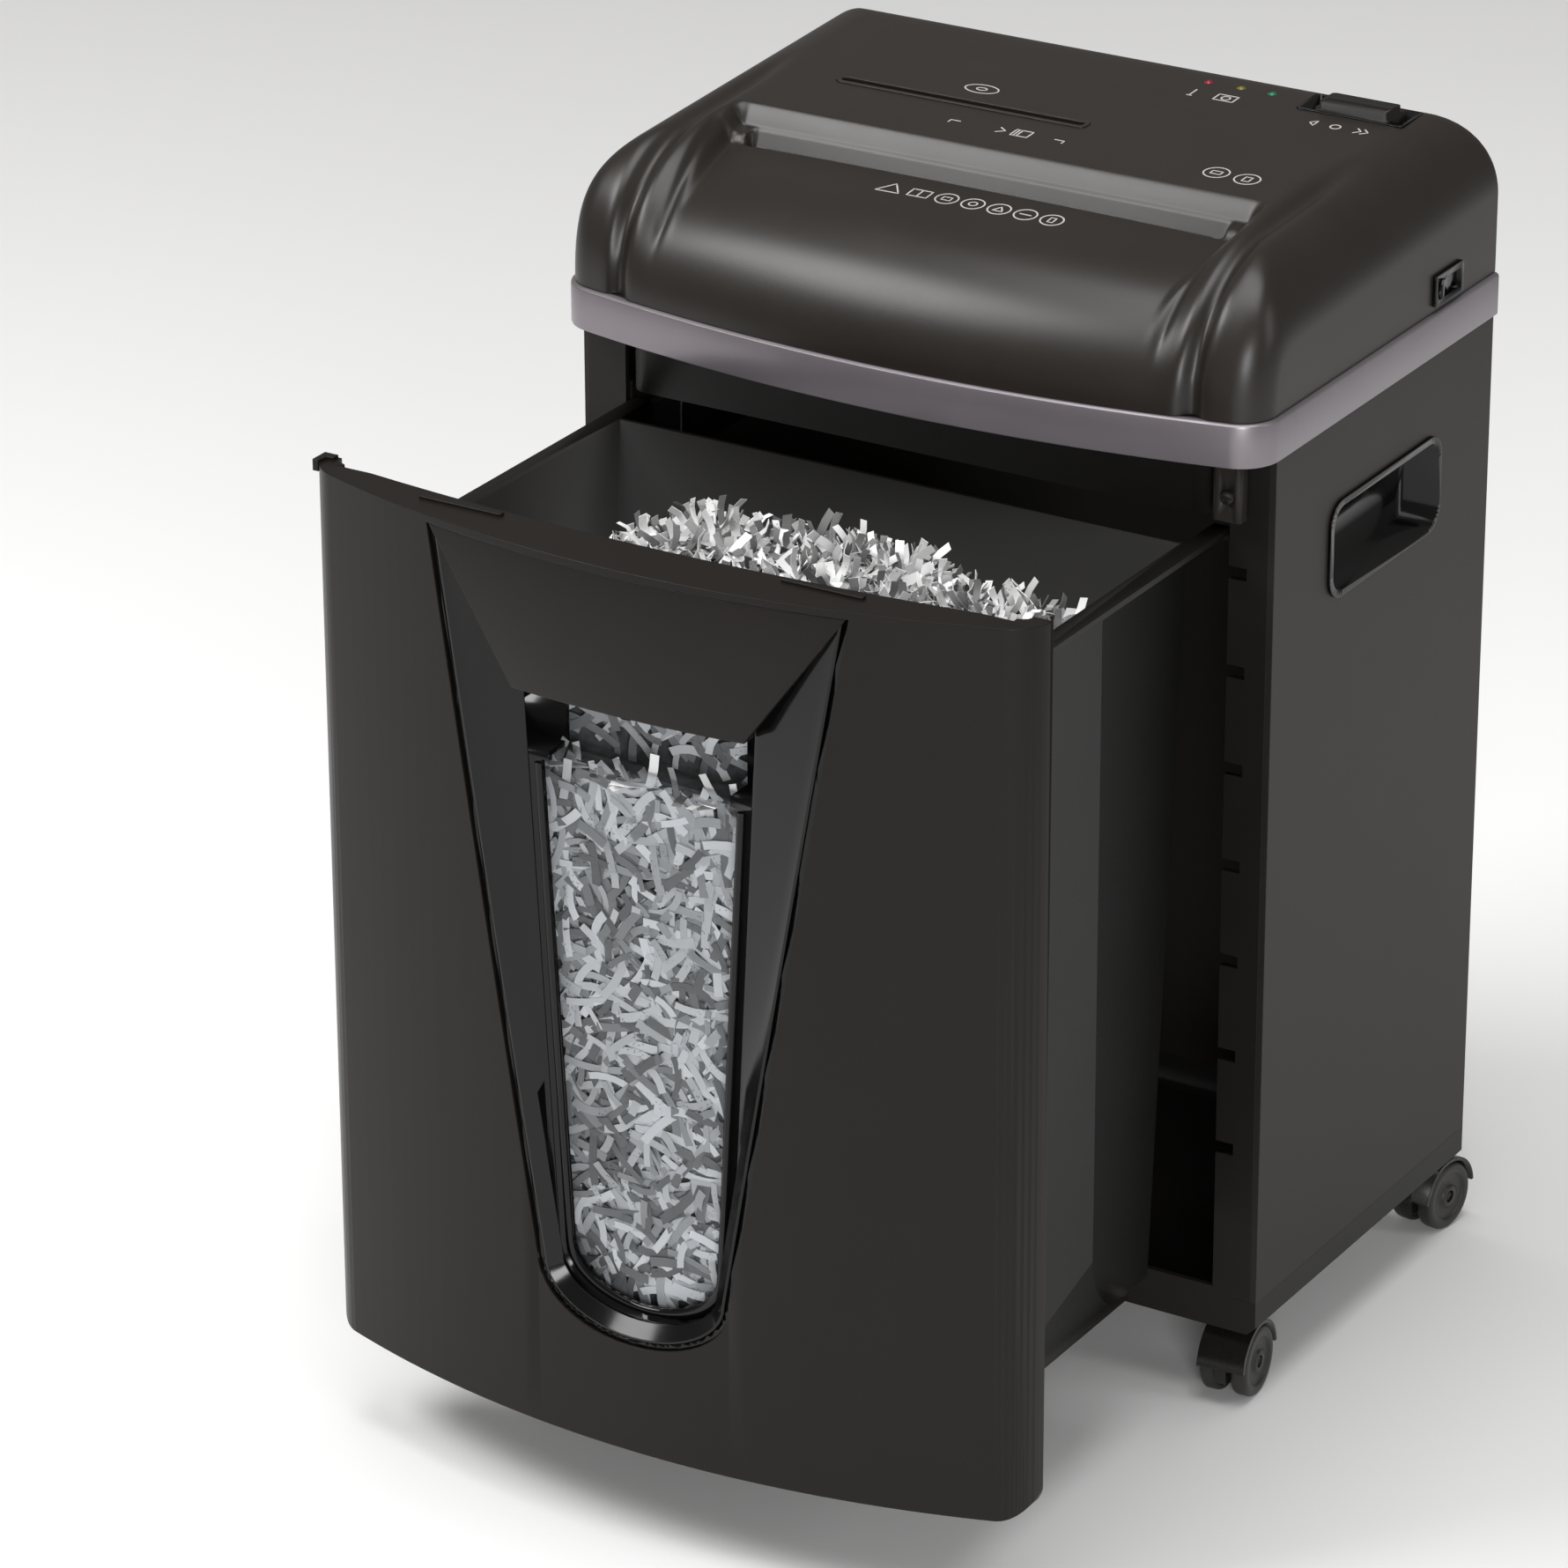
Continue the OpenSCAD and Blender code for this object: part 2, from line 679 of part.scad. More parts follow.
module top_cover() {
    color(shell_color) at_cabinet() difference() {
        intersection() {
            head_form(0);
            translate([-half_w, -half_d - head_out, band_top])
                cube([cab_w, cab_d + head_out, cover_h + 20]);
        }
        head_form(wall);
        translate([-throat_w / 2 - gap, slot_y - throat_t / 2 - gap, throat_z])
            cube([throat_w + 2 * gap, throat_t + 2 * gap, 100]);
        translate([-disc_side, disc_y, band_top]) linear_extrude(200)
            rounded_rect(disc_w + 2 * gap + 4, disc_t + 4 + 2 * gap, disc_t / 2 + 1);
        translate([pocket_x, control_y, band_top]) linear_extrude(200)
            rounded_rect(pocket_w + gap, pocket_y + gap, 2);
        for (x = light_xs) translate([x, control_y, band_top])
            cylinder(r = light_r + fit, h = 200);
        translate([0, rocker_y, rocker_z]) from_side(half_w - 2 * wall, half_w + 1)
            rounded_rect(rocker_l - 2, rocker_h - 2, 1);
        translate([gland_x, half_d - 2 * wall, gland_z]) rotate([-90, 0, 0])
            cylinder(r = gland_r + fit, h = 4 * wall);
    }
}

// Funnel that leads the paper down to the cutters
module entry_throat() {
    mouth = slot_w + 6;
    lever_cut = 5;
    color(gloss_color) at_cabinet() translate([0, slot_y, 0]) difference() {
        translate([-throat_w / 2, -throat_t / 2, throat_z])
            cube([throat_w, throat_t, throat_top - throat_z]);
        from_side(-slot_w / 2, slot_w / 2) polygon([
            [-slot_t / 2, throat_z - 1], [slot_t / 2, throat_z - 1],
            [slot_t / 2, throat_top - 18], [funnel_t / 2, throat_top + 1],
            [-funnel_t / 2, throat_top + 1], [-slot_t / 2, throat_top - 18]]);
        translate([-lever_cut / 2, 0, throat_z - 1])
            cube([lever_cut, throat_t, throat_top - throat_z - 19]);
    }
}

// Sleeve under the disc slot
module disc_slot_guide() {
    depth = 22;
    top = top_at(disc_y) + 0.4;
    color(gloss_color) at_cabinet() translate([-disc_side, disc_y, top - depth])
        linear_extrude(depth) difference() {
            rounded_rect(disc_w + 4, disc_t + 4, disc_t / 2 + 1);
            rounded_rect(disc_w, disc_t, disc_t / 2 - 0.2);
        }
}

module slider_pocket() {
    top = top_at(control_y);
    color(gloss_color) at_cabinet() translate([pocket_x, control_y, top - pocket_depth])
        difference() {
            linear_extrude(pocket_depth) rounded_rect(pocket_w, pocket_y, 2);
            translate([0, 0, 2]) linear_extrude(pocket_depth)
                rounded_rect(pocket_w - 3, pocket_y - 3, 1);
        }
}

module control_slider() {
    top = top_at(control_y);
    color(shell_color) at_cabinet()
    translate([pocket_x, control_y, top - pocket_depth + 2 + gap]) {
        linear_extrude(pocket_depth - 2) rounded_rect(slider_w, pocket_y - 5, 2);
        translate([0, 0, pocket_depth - 2 - eps]) linear_extrude(3)
            rounded_rect(slider_w - 3, pocket_y - 8, 2);
    }
}

module power_switch_body() {
    color(gloss_color) at_cabinet() translate([0, rocker_y, rocker_z]) difference() {
        union() {
            from_side(half_w - 20, half_w) rounded_rect(rocker_l - 2.4, rocker_h - 2.4, 1);
            from_side(half_w, half_w + 1.6) rounded_rect(rocker_l, rocker_h, 1.5);
        }
        translate([half_w - 16, -rocker_l / 2 + 3, -rocker_h / 2 + 3])
            cube([30, rocker_l - 6, rocker_h - 6]);
        translate([rocker_hinge_x, 0, -rocker_h / 2 + 2]) cylinder(r = rocker_pin + fit,
                                                                  h = rocker_h - 4);
    }
}

// Rocker with two sloping faces and a hinge pin, tipped to its "on" side at rest
module power_rocker() {
    reach = rocker_l / 2 - 4;
    tip = rocker_angle / 2;
    color(shell_color) at_cabinet() translate([rocker_hinge_x, rocker_y, rocker_z])
        rotate([0, 0, tip]) union() {
            linear_extrude(rocker_h - 7, center = true)
                polygon([[-2, -3], [3.6, -reach], [5.2, -reach + 0.6], [4.4, 0],
                         [5.2, reach - 0.6], [3.6, reach], [-2, 3]]);
            cylinder(r = rocker_pin, h = rocker_h - 4.4, center = true);
        }
}

module status_light(i) {
    at_cabinet() translate([light_xs[i], control_y, top_at(control_y) - light_l]) union() {
        cylinder(r = light_r, h = light_l);
        translate([0, 0, light_l - light_r * 0.7]) intersection() {
            sphere(r = light_r);
            cylinder(r = light_r, h = light_r);
        }
        cylinder(r = light_r + 0.6, h = 1);
    }
}

module red_status_light() { color([0.8, 0.05, 0.05]) status_light(0); }

module amber_status_light() { color([0.85, 0.6, 0.05]) status_light(1); }

module green_status_light() { color([0.05, 0.6, 0.15]) status_light(2); }

module control_board() {
    board_t = 1.6;
    color([0.05, 0.3, 0.12]) at_cabinet()
        translate([light_xs[0] - 12, control_y - 15, top_at(control_y) - light_l - board_t])
            cube([pocket_x + pocket_w / 2 - light_xs[0] + 12, 30, board_t]);
}

// Block at the head's right front corner that holds the door switch and its plunger
module interlock_housing() {
    color(shell_color) at_cabinet() difference() {
        translate([skirt_w + gap, -half_d - housing_d, skirt_z]) linear_extrude(skirt_h - gap)
            offset(r = 3, $fn = smooth) offset(delta = -3) square([housing_w, housing_d - gap]);
        translate([plunger_x, -half_d - housing_d - 1, plunger_z]) rotate([-90, 0, 0])
            cylinder(r = plunger_r + fit, h = housing_d - 1);
    }
}

module safety_plunger() {
    color([0.75, 0.75, 0.72]) at_cabinet()
        translate([plunger_x, -half_d - housing_d - plunger_nose, plunger_z])
            rotate([-90, 0, 0]) cylinder(r = plunger_r, h = plunger_nose + housing_d - 5);
}

// ---------------------------------------------------------------- cutters and drive

// Side plate of the cutter frame, bored for both shafts and for the motor's shaft
module cutter_plate(side) {
    x0 = side > 0 ? plate_x : -plate_x - plate_t;
    color(steel_color) at_cabinet() difference() {
        translate([x0, plate_front, plate_z])
            cube([plate_t, plate_back - plate_front, plate_top - plate_z]);
        for (y = [front_shaft_y, rear_shaft_y])
            rod_x(bush_r, x0 - 1, x0 + plate_t + 1, y, cut_z);
        rod_x(motor_shaft_r + 2, x0 - 1, x0 + plate_t + 1, motor_y, motor_z);
        translate([x0 - 1, slot_y - throat_t / 2 - 1, throat_z - 1])
            cube([plate_t + 2, throat_t + 2, 40]);
        if (side > 0) rod_x(pin_r + fit / 2, x0 - 1, x0 + plate_t + 1, idler_y, idler_z);
        for (p = rod_places) rod_x(rod_r / 2, x0 - 1, x0 + plate_t + 1, p[0], p[1]);
    }
}

module left_cutter_plate() { cutter_plate(-1); }

module right_cutter_plate() { cutter_plate(1); }

module tie_rods() {
    color(steel_color) at_cabinet() for (p = rod_places) {
        rod_x(rod_r, -plate_x + eps, plate_x - eps, p[0], p[1]);
        rod_x(rod_r / 2 - fit, -plate_x - plate_t, plate_x + plate_t, p[0], p[1]);
    }
}

// Comb whose teeth reach between the discs; shift is where the cutter's first disc stands
module comb(shaft_y, side, shift) {
    back = side * (disc_r + 2.5);
    tooth = disc_pitch * (1 - disc_fill) - 2.4;
    color(frame_color) at_cabinet() union() {
        translate([-plate_x + gap, shaft_y + (side < 0 ? back - 3 : back), cut_z - 14])
            cube([2 * (plate_x - gap), 3, 28]);
        for (i = [0:disc_count - 2])
            translate([shift + i * disc_pitch + disc_step + 1.2,
                       shaft_y + (side < 0 ? back - 1 : spacer_r + 0.8), cut_z - 3])
                cube([tooth, disc_r + 3.5 - spacer_r - 0.8, 6]);
    }
}

module front_comb() { comb(front_shaft_y, -1, front_shift); }

module rear_comb() { comb(rear_shaft_y, 1, rear_shift); }

// Cutter cylinder: discs on a core, with a journal at each end
module cutter(shaft_y, shift) {
    color(steel_color) at_cabinet() translate([0, shaft_y, cut_z]) rotate([90, 0, 90])
        rotate_extrude() polygon(concat(
            [[0, -plate_x - plate_t - 1], [journal_r, -plate_x - plate_t - 1],
             [journal_r, -plate_x + 1], [spacer_r, -plate_x + 1]],
            [for (i = [0:disc_count - 1]) let (x = shift + i * disc_pitch) each
                [[spacer_r, x], [disc_r, x], [disc_r, x + disc_step], [spacer_r, x + disc_step]]],
            [[spacer_r, plate_x - 1], [journal_r, plate_x - 1],
             [journal_r, cut_gear_x + cut_gear_w + 0.5], [0, cut_gear_x + cut_gear_w + 0.5]]));
}

module front_cutter() { cutter(front_shaft_y, front_shift); }

module rear_cutter() { cutter(rear_shaft_y, rear_shift); }

module front_cutter_gear() {
    color([0.85, 0.84, 0.78]) at_cabinet()
        gear(cut_teeth, coarse_module, front_gear_turn, journal_r + fit, cut_gear_x, cut_gear_w,
             front_shaft_y, cut_z);
}

module rear_cutter_gear() {
    color([0.85, 0.84, 0.78]) at_cabinet()
        gear(cut_teeth, coarse_module, rear_gear_turn, journal_r + fit, cut_gear_x, cut_gear_w,
             rear_shaft_y, cut_z);
}

// Large wheel and small wheel in one, turning on a fixed pin
module reduction_gear() {
    color([0.8, 0.78, 0.7]) at_cabinet() union() {
        gear(small_teeth, coarse_module, small_gear_turn, pin_r + fit, cut_gear_x,
             fine_gear_x - cut_gear_x + eps, idler_y, idler_z);
        gear(large_teeth, fine_module, 0, pin_r + fit, fine_gear_x, fine_gear_w,
             idler_y, idler_z);
    }
}

module reduction_gear_pin() {
    color(steel_color) at_cabinet() rod_x(pin_r, plate_x, gearbox_x - gap, idler_y, idler_z);
}

module motor_can() {
    color(steel_color) at_cabinet() difference() {
        union() {
            rod_x(motor_r, motor_x, motor_x + motor_l, motor_y, motor_z);
            rod_x(motor_r / 3, motor_x - 4, motor_x + eps, motor_y, motor_z);
            rod_x(motor_r / 2, motor_x + motor_l - eps, plate_x, motor_y, motor_z);
        }
        rod_x(motor_shaft_r + fit, motor_x + 6, plate_x + 1, motor_y, motor_z);
    }
}

// Motor shaft with the pinion cut on its end
module motor_rotor() {
    color(steel_color) at_cabinet() union() {
        rod_x(motor_shaft_r, motor_x + 7, fine_gear_x + eps, motor_y, motor_z);
        gear(pinion_teeth, fine_module, pinion_turn, 0, fine_gear_x, fine_gear_w,
             motor_y, motor_z);
    }
}

module shaft_bushes() {
    color([0.7, 0.5, 0.25]) at_cabinet() for (s = [-1, 1], y = [front_shaft_y, rear_shaft_y])
        difference() {
            rod_x(bush_r - fit / 2, s > 0 ? plate_x : -plate_x - plate_t,
                  s > 0 ? plate_x + plate_t : -plate_x, y, cut_z);
            rod_x(journal_r + fit, s * plate_x - 2 * plate_t, s * plate_x + 2 * plate_t,
                  y, cut_z);
        }
}

// Outline round all the gears, seen from the side
module gearbox_outline(grow) {
    fat = cut_teeth * coarse_module / 2 + 2 + grow;
    hull() {
        translate([front_shaft_y, cut_z]) circle(fat + 1, $fn = smooth);
        translate([idler_y, idler_z])
            circle(large_teeth * fine_module / 2 + 2 + grow, $fn = smooth);
        translate([motor_y, motor_z]) circle(fat - 6, $fn = smooth);
    }
}

module gearbox_cover() {
    skin = 2;
    color(frame_color) at_cabinet() difference() {
        from_side(plate_x + plate_t, gearbox_x + skin) gearbox_outline(skin);
        from_side(plate_x + plate_t - 1, gearbox_x) gearbox_outline(0);
    }
}

// Paper sensing lever: a toe across the slot on a pivot behind the throat
module start_lever() {
    reach = throat_t / 2 + 6;
    color([0.85, 0.85, 0.8]) at_cabinet() union() {
        rod_x(1.5, -6, 6, lever_y, lever_z);
        from_side(-1.5, 1.5) polygon([
            [lever_y + 4, lever_z + 2.5], [lever_y + 4, lever_z - 2.5],
            [lever_y - reach + 2, lever_z - 6], [lever_y - reach - 2, lever_z - 4],
            [lever_y - reach + 4, lever_z - 1]]);
    }
}

// ---------------------------------------------------------------- trim and fasteners

module cord_gland() {
    color(gloss_color) at_cabinet() translate([gland_x, 0, gland_z]) rotate([-90, 0, 0])
        difference() {
            union() {
                translate([0, 0, half_d - wall]) cylinder(r = gland_r, h = wall + eps);
                translate([0, 0, half_d]) cylinder(r1 = gland_r + 2, r2 = gland_r, h = 5);
            }
            translate([0, 0, half_d - 2 * wall]) cylinder(r = cord_r, h = 6 * wall);
        }
}

// Screws sunk into the back panel's corners
module housing_screws() {
    color(steel_color) at_cabinet() at_screws() difference() {
        cylinder(r1 = screw_r, r2 = screw_r - 0.6, h = screw_t - 0.2);
        for (a = [0, 90]) rotate([0, 0, a]) translate([-2, -0.4, screw_t / 2])
            cube([4, 0.8, screw_t]);
    }
}

// ---------------------------------------------------------------- bin

module at_bin() { translate([0, cab_y - pull, 0]) children(); }

// Side view of the bin, whose back leans in towards the floor
module bin_profile(inset) {
    offset(delta = -inset) polygon([[-bin_front - 20, bin_z], [bin_back - bin_lean, bin_z],
        [bin_back, rim_z + 20], [-bin_front - 20, rim_z + 20]]);
}

// The bin's outer form, taken in by inset
module bin_form(inset) {
    intersection() {
        bowed_block(bin_half, bin_front, bin_back + 20, bin_corner, inset, bin_z, rim_z + 10);
        from_side(-half_w, half_w) bin_profile(inset);
    }
}

// Side view of the thick front part of the bin's side wall, with its round lower corner
module bin_step_outline() {
    steps = 12;
    polygon(concat([[-side_front, rim_z - rail_t / 2], [-side_front, bin_z]],
        [for (i = [0:steps]) let (a = -90 - 90 * i / steps)
            [step_y + step_r + step_r * cos(a), bin_z + step_r + step_r * sin(a)]],
        [[step_y, rim_z - rail_t / 2]]));
}

// What stands out from the bin's right side: its thick part, and the rim that runs on the
// guide rail and reaches past the bin's back on a web of its own
module bin_side() {
    web = 3 * rail_t;
    from_side(bin_half - 1, bin_half + bin_step) bin_step_outline();
    translate([bin_half - 1, -side_front, rim_z - rail_t])
        cube([bin_rim + 1, side_front + runner_end, rail_t]);
    translate([bin_half - bin_t * 0.8, bin_back - web, rim_z - web])
        cube([bin_t * 0.7, runner_end - bin_back + web, web - rail_t / 2]);
}

module bin_box() {
    color(bin_color) at_bin() difference() {
        union() {
            intersection() {
                bin_form(0);
                translate([-half_w, -half_w, bin_z]) cube([cab_w, cab_w, bin_h]);
            }
            for (s = [0, 1]) mirror([s, 0, 0]) bin_side();
        }
        difference() {
            bin_form(bin_t);
            translate([-half_w, -half_w, bin_z - 10]) cube([cab_w, cab_w, 10 + bin_t]);
        }
        // opening behind the recess and its window
        from_front(-bin_front - 1, -bin_front + 20) recess_outline(-2);
    }
}

// Bowed front panel: a skin with a ledge round its top and a tapered opening
module front_fascia() {
    color(bin_color) at_bin() difference() {
        intersection() {
            difference() {
                bowed_block(panel_w / 2, panel_front, -panel_back, corner_r, 0,
                            fascia_z, fascia_top);
                bowed_block(panel_w / 2, panel_front, 0, corner_r, panel_t,
                            fascia_z + panel_t, fascia_top - panel_t);
                intersection() {
                    bowed_block(panel_w / 2, panel_front, 0, corner_r, ledge_w,
                                fascia_top - 2 * panel_t, fascia_top + 1);
                    bowed_block(panel_w / 2, panel_front - ledge_deep, 0, corner_r, 0,
                                fascia_top - 3 * panel_t, fascia_top + 2, ledge_bow_r);
                }
                // clear of the door switch's housing
                translate([-switch_half, -switch_front, fascia_top - 2 * panel_t])
                    cube([2 * switch_half, switch_front - panel_back, 3 * panel_t]);
            }
            from_front(-panel_front - 1, 0)
                translate([0, (fascia_z + fascia_top) / 2 + foot_r])
                    rounded_rect(panel_w, fascia_top - fascia_z + 2 * foot_r, foot_r);
        }
        from_front(-panel_front - 1, -panel_front + 2 * corner_r) intersection() {
            recess_outline(0);
            translate([-half_w, 0]) square([cab_w, handle_top]);
        }
    }
    // tab that meets the door switch's plunger
    color(bin_color) at_bin() intersection() {
        bowed_block(panel_w / 2, panel_front, half_d, corner_r, panel_t / 2, fascia_z, band_z);
        translate([plunger_x - 2, -panel_front, plunger_z - 4])
            cube([4, panel_front - half_d - housing_d - plunger_nose - gap, 8]);
    }
}

// Gloss tray behind the tapered opening: window level below, finger pocket above
module recess_surround() {
    floor_y = -panel_front + recess_d;
    deep_y = -panel_front + pocket_d;
    color(gloss_color) at_bin() difference() {
        intersection() {
            union() {
                from_front(-panel_front, floor_y + surround_t) recess_outline(gap);
                from_front(floor_y, deep_y + surround_t) intersection() {
                    recess_outline(gap);
                    translate([-half_w, pocket_z - surround_t]) square([cab_w, 200]);
                }
            }
            bowed_block(panel_w / 2, panel_front, 0, corner_r, panel_t * 0.6, fascia_z,
                        surround_top);
        }
        from_front(-panel_front - 1, floor_y) recess_outline(gap + surround_t);
        from_front(floor_y - 1, deep_y) intersection() {
            recess_outline(gap + surround_t);
            translate([-half_w, pocket_z]) square([cab_w, 200]);
        }
        from_front(floor_y - 1, floor_y + surround_t + 1) intersection() {
            window_outline(0);
            translate([-half_w, 0]) square([cab_w, pocket_z - 2 * surround_t]);
        }
        // the window goes on behind the finger pocket
        from_front(floor_y - 1, deep_y + surround_t + 1)
            translate([0, pocket_z + surround_t + upper_h / 2 - 10])
                rounded_rect(2 * upper_half, upper_h + 20, 4);
    }
}

// Clear window, which steps back over the finger pocket's floor
module window_lens() {
    back_y = -panel_front + recess_d + surround_t + gap;
    upper_y = -panel_front + pocket_d + surround_t + gap;
    step_z = pocket_z - surround_t - gap;
    color([0.75, 0.78, 0.8, 0.4]) at_bin() {
        from_front(back_y, back_y + lens_t) intersection() {
            window_outline(-5);
            translate([-half_w, 0]) square([cab_w, step_z]);
        }
        from_front(back_y, upper_y + lens_t)
            translate([-upper_half - 3, step_z - lens_t]) square([2 * upper_half + 6, lens_t]);
        from_front(upper_y, upper_y + lens_t)
            translate([-upper_half - 3, step_z - lens_t])
                square([2 * upper_half + 6, upper_h + lens_t + surround_t + gap + 5]);
    }
}

// Trapezoid plate flush with the panel, with a lip along its lower edge to pull on
module pull_handle() {
    low = handle_top - pull_h;
    color(bin_color) at_bin() intersection() {
        difference() {
            bowed_block(panel_w / 2, panel_front, 0, corner_r, 0, low, handle_top);
            bowed_block(panel_w / 2, panel_front, 1, corner_r, panel_t * 1.2, low + 3,
                        handle_top + 1);
            bowed_block(panel_w / 2, panel_front, 1, corner_r, lip_d, low - 1, low + 4);
        }
        from_front(-panel_front - 1, -panel_front + 2 * corner_r)
            polygon([[-pull_low, low], [pull_low, low], [pull_top_half, handle_top],
                     [-pull_top_half, handle_top]]);
    }
}

// ---------------------------------------------------------------- casters

// Moves a caster drawn with its stem on the Z axis and its trail along +Y
module at_caster(c) {
    translate([stem_x(c), cab_y + stem_y(c), 0]) rotate([0, 0, c[2]]) children();
}

// Fork with its fender, the web between the wheels, the axle and the stem
module caster_fork(c) {
    half = wheel_gap + wheel_w;
    web = wheel_gap - 0.4;
    flange_z = base_clear - caster_gap - flange_t - 0.2;
    color(gloss_color) at_caster(c) union() {
        difference() {
            rod_x(fender_r, -half, half, trail, wheel_r);
            rod_x(fender_r - fender_t, -half - 1, half + 1, trail, wheel_r);
            translate([-half - 1, trail - 2 * fender_r, wheel_r - 2 * fender_r + 2])
                cube([2 * half + 2, 4 * fender_r, 2 * fender_r]);
        }
        intersection() {
            rod_x(fender_r - eps, -web, web, trail, wheel_r);
            translate([-web, -half, wheel_r - 5]) cube([2 * web, 80, fender_r + 6]);
        }
        translate([-web, -stem_r, wheel_r + 2]) cube([2 * web, trail, fender_r - 4]);
        translate([0, 0, flange_z]) cylinder(r = flange_r, h = flange_t);
        translate([0, 0, flange_z]) cylinder(r = stem_r, h = base_clear - flange_z + base_h);
        rod_x(axle_r, 0.5 - half, half - 0.5, trail, wheel_r);
    }
}

// Pair of wheels on one axle
module caster_wheels(c) {
    r = wheel_r;
    e = wheel_round;
    color(gloss_color) at_caster(c) for (s = [-1, 1])
        translate([s > 0 ? wheel_gap : -wheel_gap, trail, wheel_r]) rotate([0, 90 * s, 0])
            rotate_extrude() polygon(concat([[axle_r + fit, 0], [r - e, 0]],
                [for (i = [0:4]) let (a = -90 + 90 * i / 4)
                    [r - e + e * cos(a), e + e * sin(a)]],
                [for (i = [0:4]) let (a = 90 * i / 4)
                    [r - e + e * cos(a), wheel_w - e + e * sin(a)]],
                [[r * 0.72, wheel_w], [r * 0.66, wheel_w - 1.2], [axle_r + 3, wheel_w - 1.2],
                 [axle_r + 2, wheel_w], [axle_r + fit, wheel_w]]));
}

module front_left_caster_fork() { caster_fork(casters[0]); }

module front_left_caster_wheels() { caster_wheels(casters[0]); }

module front_right_caster_fork() { caster_fork(casters[1]); }

module front_right_caster_wheels() { caster_wheels(casters[1]); }

module rear_left_caster_fork() { caster_fork(casters[2]); }

module rear_left_caster_wheels() { caster_wheels(casters[2]); }

module rear_right_caster_fork() { caster_fork(casters[3]); }

module rear_right_caster_wheels() { caster_wheels(casters[3]); }

left_side_panel();
right_side_panel();
back_panel();
base_tray();
left_stile();
right_stile();
left_handle_cup();
right_handle_cup();
left_guide_rail();
right_guide_rail();
caster_sockets();
head_chassis();
trim_band();
top_cover();
entry_throat();
disc_slot_guide();
slider_pocket();
power_switch_body();
red_status_light();
amber_status_light();
green_status_light();
control_board();
interlock_housing();
left_cutter_plate();
right_cutter_plate();
tie_rods();
front_comb();
rear_comb();
motor_can();
gearbox_cover();
shaft_bushes();
reduction_gear_pin();
cord_gland();
housing_screws();
bin_box();
front_fascia();
recess_surround();
window_lens();
pull_handle();
control_slider();
power_rocker();
start_lever();
safety_plunger();
front_cutter();
rear_cutter();
front_cutter_gear();
rear_cutter_gear();
reduction_gear();
motor_rotor();
front_left_caster_fork();
front_left_caster_wheels();
front_right_caster_fork();
front_right_caster_wheels();
rear_left_caster_fork();
rear_left_caster_wheels();
rear_right_caster_fork();
rear_right_caster_wheels();
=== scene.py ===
"""Deskside paper shredder: the finished look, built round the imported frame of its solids."""

import json
import logging
import math
import random
from dataclasses import dataclass
from enum import Enum

import bmesh
import bpy
import numpy as np
from mathutils import Matrix, Vector

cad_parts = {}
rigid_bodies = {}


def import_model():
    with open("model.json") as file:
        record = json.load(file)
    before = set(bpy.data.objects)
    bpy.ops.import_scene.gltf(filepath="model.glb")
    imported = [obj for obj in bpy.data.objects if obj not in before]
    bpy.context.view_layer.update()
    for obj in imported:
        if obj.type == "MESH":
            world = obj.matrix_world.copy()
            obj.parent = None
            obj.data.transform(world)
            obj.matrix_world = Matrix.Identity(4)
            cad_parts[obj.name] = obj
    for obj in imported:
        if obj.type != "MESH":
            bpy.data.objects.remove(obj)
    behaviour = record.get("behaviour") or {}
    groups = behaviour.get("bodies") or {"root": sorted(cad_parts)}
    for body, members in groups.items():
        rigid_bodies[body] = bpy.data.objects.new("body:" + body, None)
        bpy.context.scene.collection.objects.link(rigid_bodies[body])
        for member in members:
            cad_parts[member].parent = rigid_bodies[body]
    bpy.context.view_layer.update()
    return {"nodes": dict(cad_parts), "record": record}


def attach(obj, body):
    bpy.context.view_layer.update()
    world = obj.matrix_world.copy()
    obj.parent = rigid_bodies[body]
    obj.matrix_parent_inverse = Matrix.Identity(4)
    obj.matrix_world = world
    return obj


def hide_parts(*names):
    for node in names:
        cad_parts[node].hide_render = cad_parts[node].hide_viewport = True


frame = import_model()

log = logging.getLogger("shredder")
MM = 0.001
CABINET_Y = 115.1776          # middle of the cabinet, from the row's origin
BIN_Y = CABINET_Y - 202.0     # the bin's own zero when it is pulled out
BAND_Z = 472.0                # foot of the grey band
HEAD_BASE = 493.0             # foot of the top cover
RIM_TOP = 470.5               # top of the bin's front
STRAIGHT = -1000.0            # grid stations below zero hold this less a plain Y
SPLIT_Y = -62.0               # where the cover's grid turns from shares to plain Y
BROAD_MM = 38.0               # size of the broad mottling of a finish
CORNERS = ((1, 1), (-1, 1), (-1, -1), (1, -1))


class Body(str, Enum):
    """Bodies of the frame that new pieces ride on."""

    CABINET = "cabinet"
    BIN = "bin"


# ---------------------------------------------------------------- shader maths


class Wire:
    """A node's output that takes part in Python expressions."""

    def __init__(self, tree: "Shader", socket: bpy.types.NodeSocket) -> None:
        """Keeps the tree and the socket."""
        self.tree, self.socket = tree, socket

    def _op(self, operation: str, first: object, second: object) -> "Wire":
        """Adds one Math node."""
        return self.tree.node("ShaderNodeMath", {"operation": operation}, {0: first, 1: second})

    def __add__(self, other: object) -> "Wire":
        """Sum."""
        return self._op("ADD", self, other)

    def __rsub__(self, other: object) -> "Wire":
        """Difference from a number."""
        return self._op("SUBTRACT", other, self)

    def __mul__(self, other: object) -> "Wire":
        """Product."""
        return self._op("MULTIPLY", self, other)


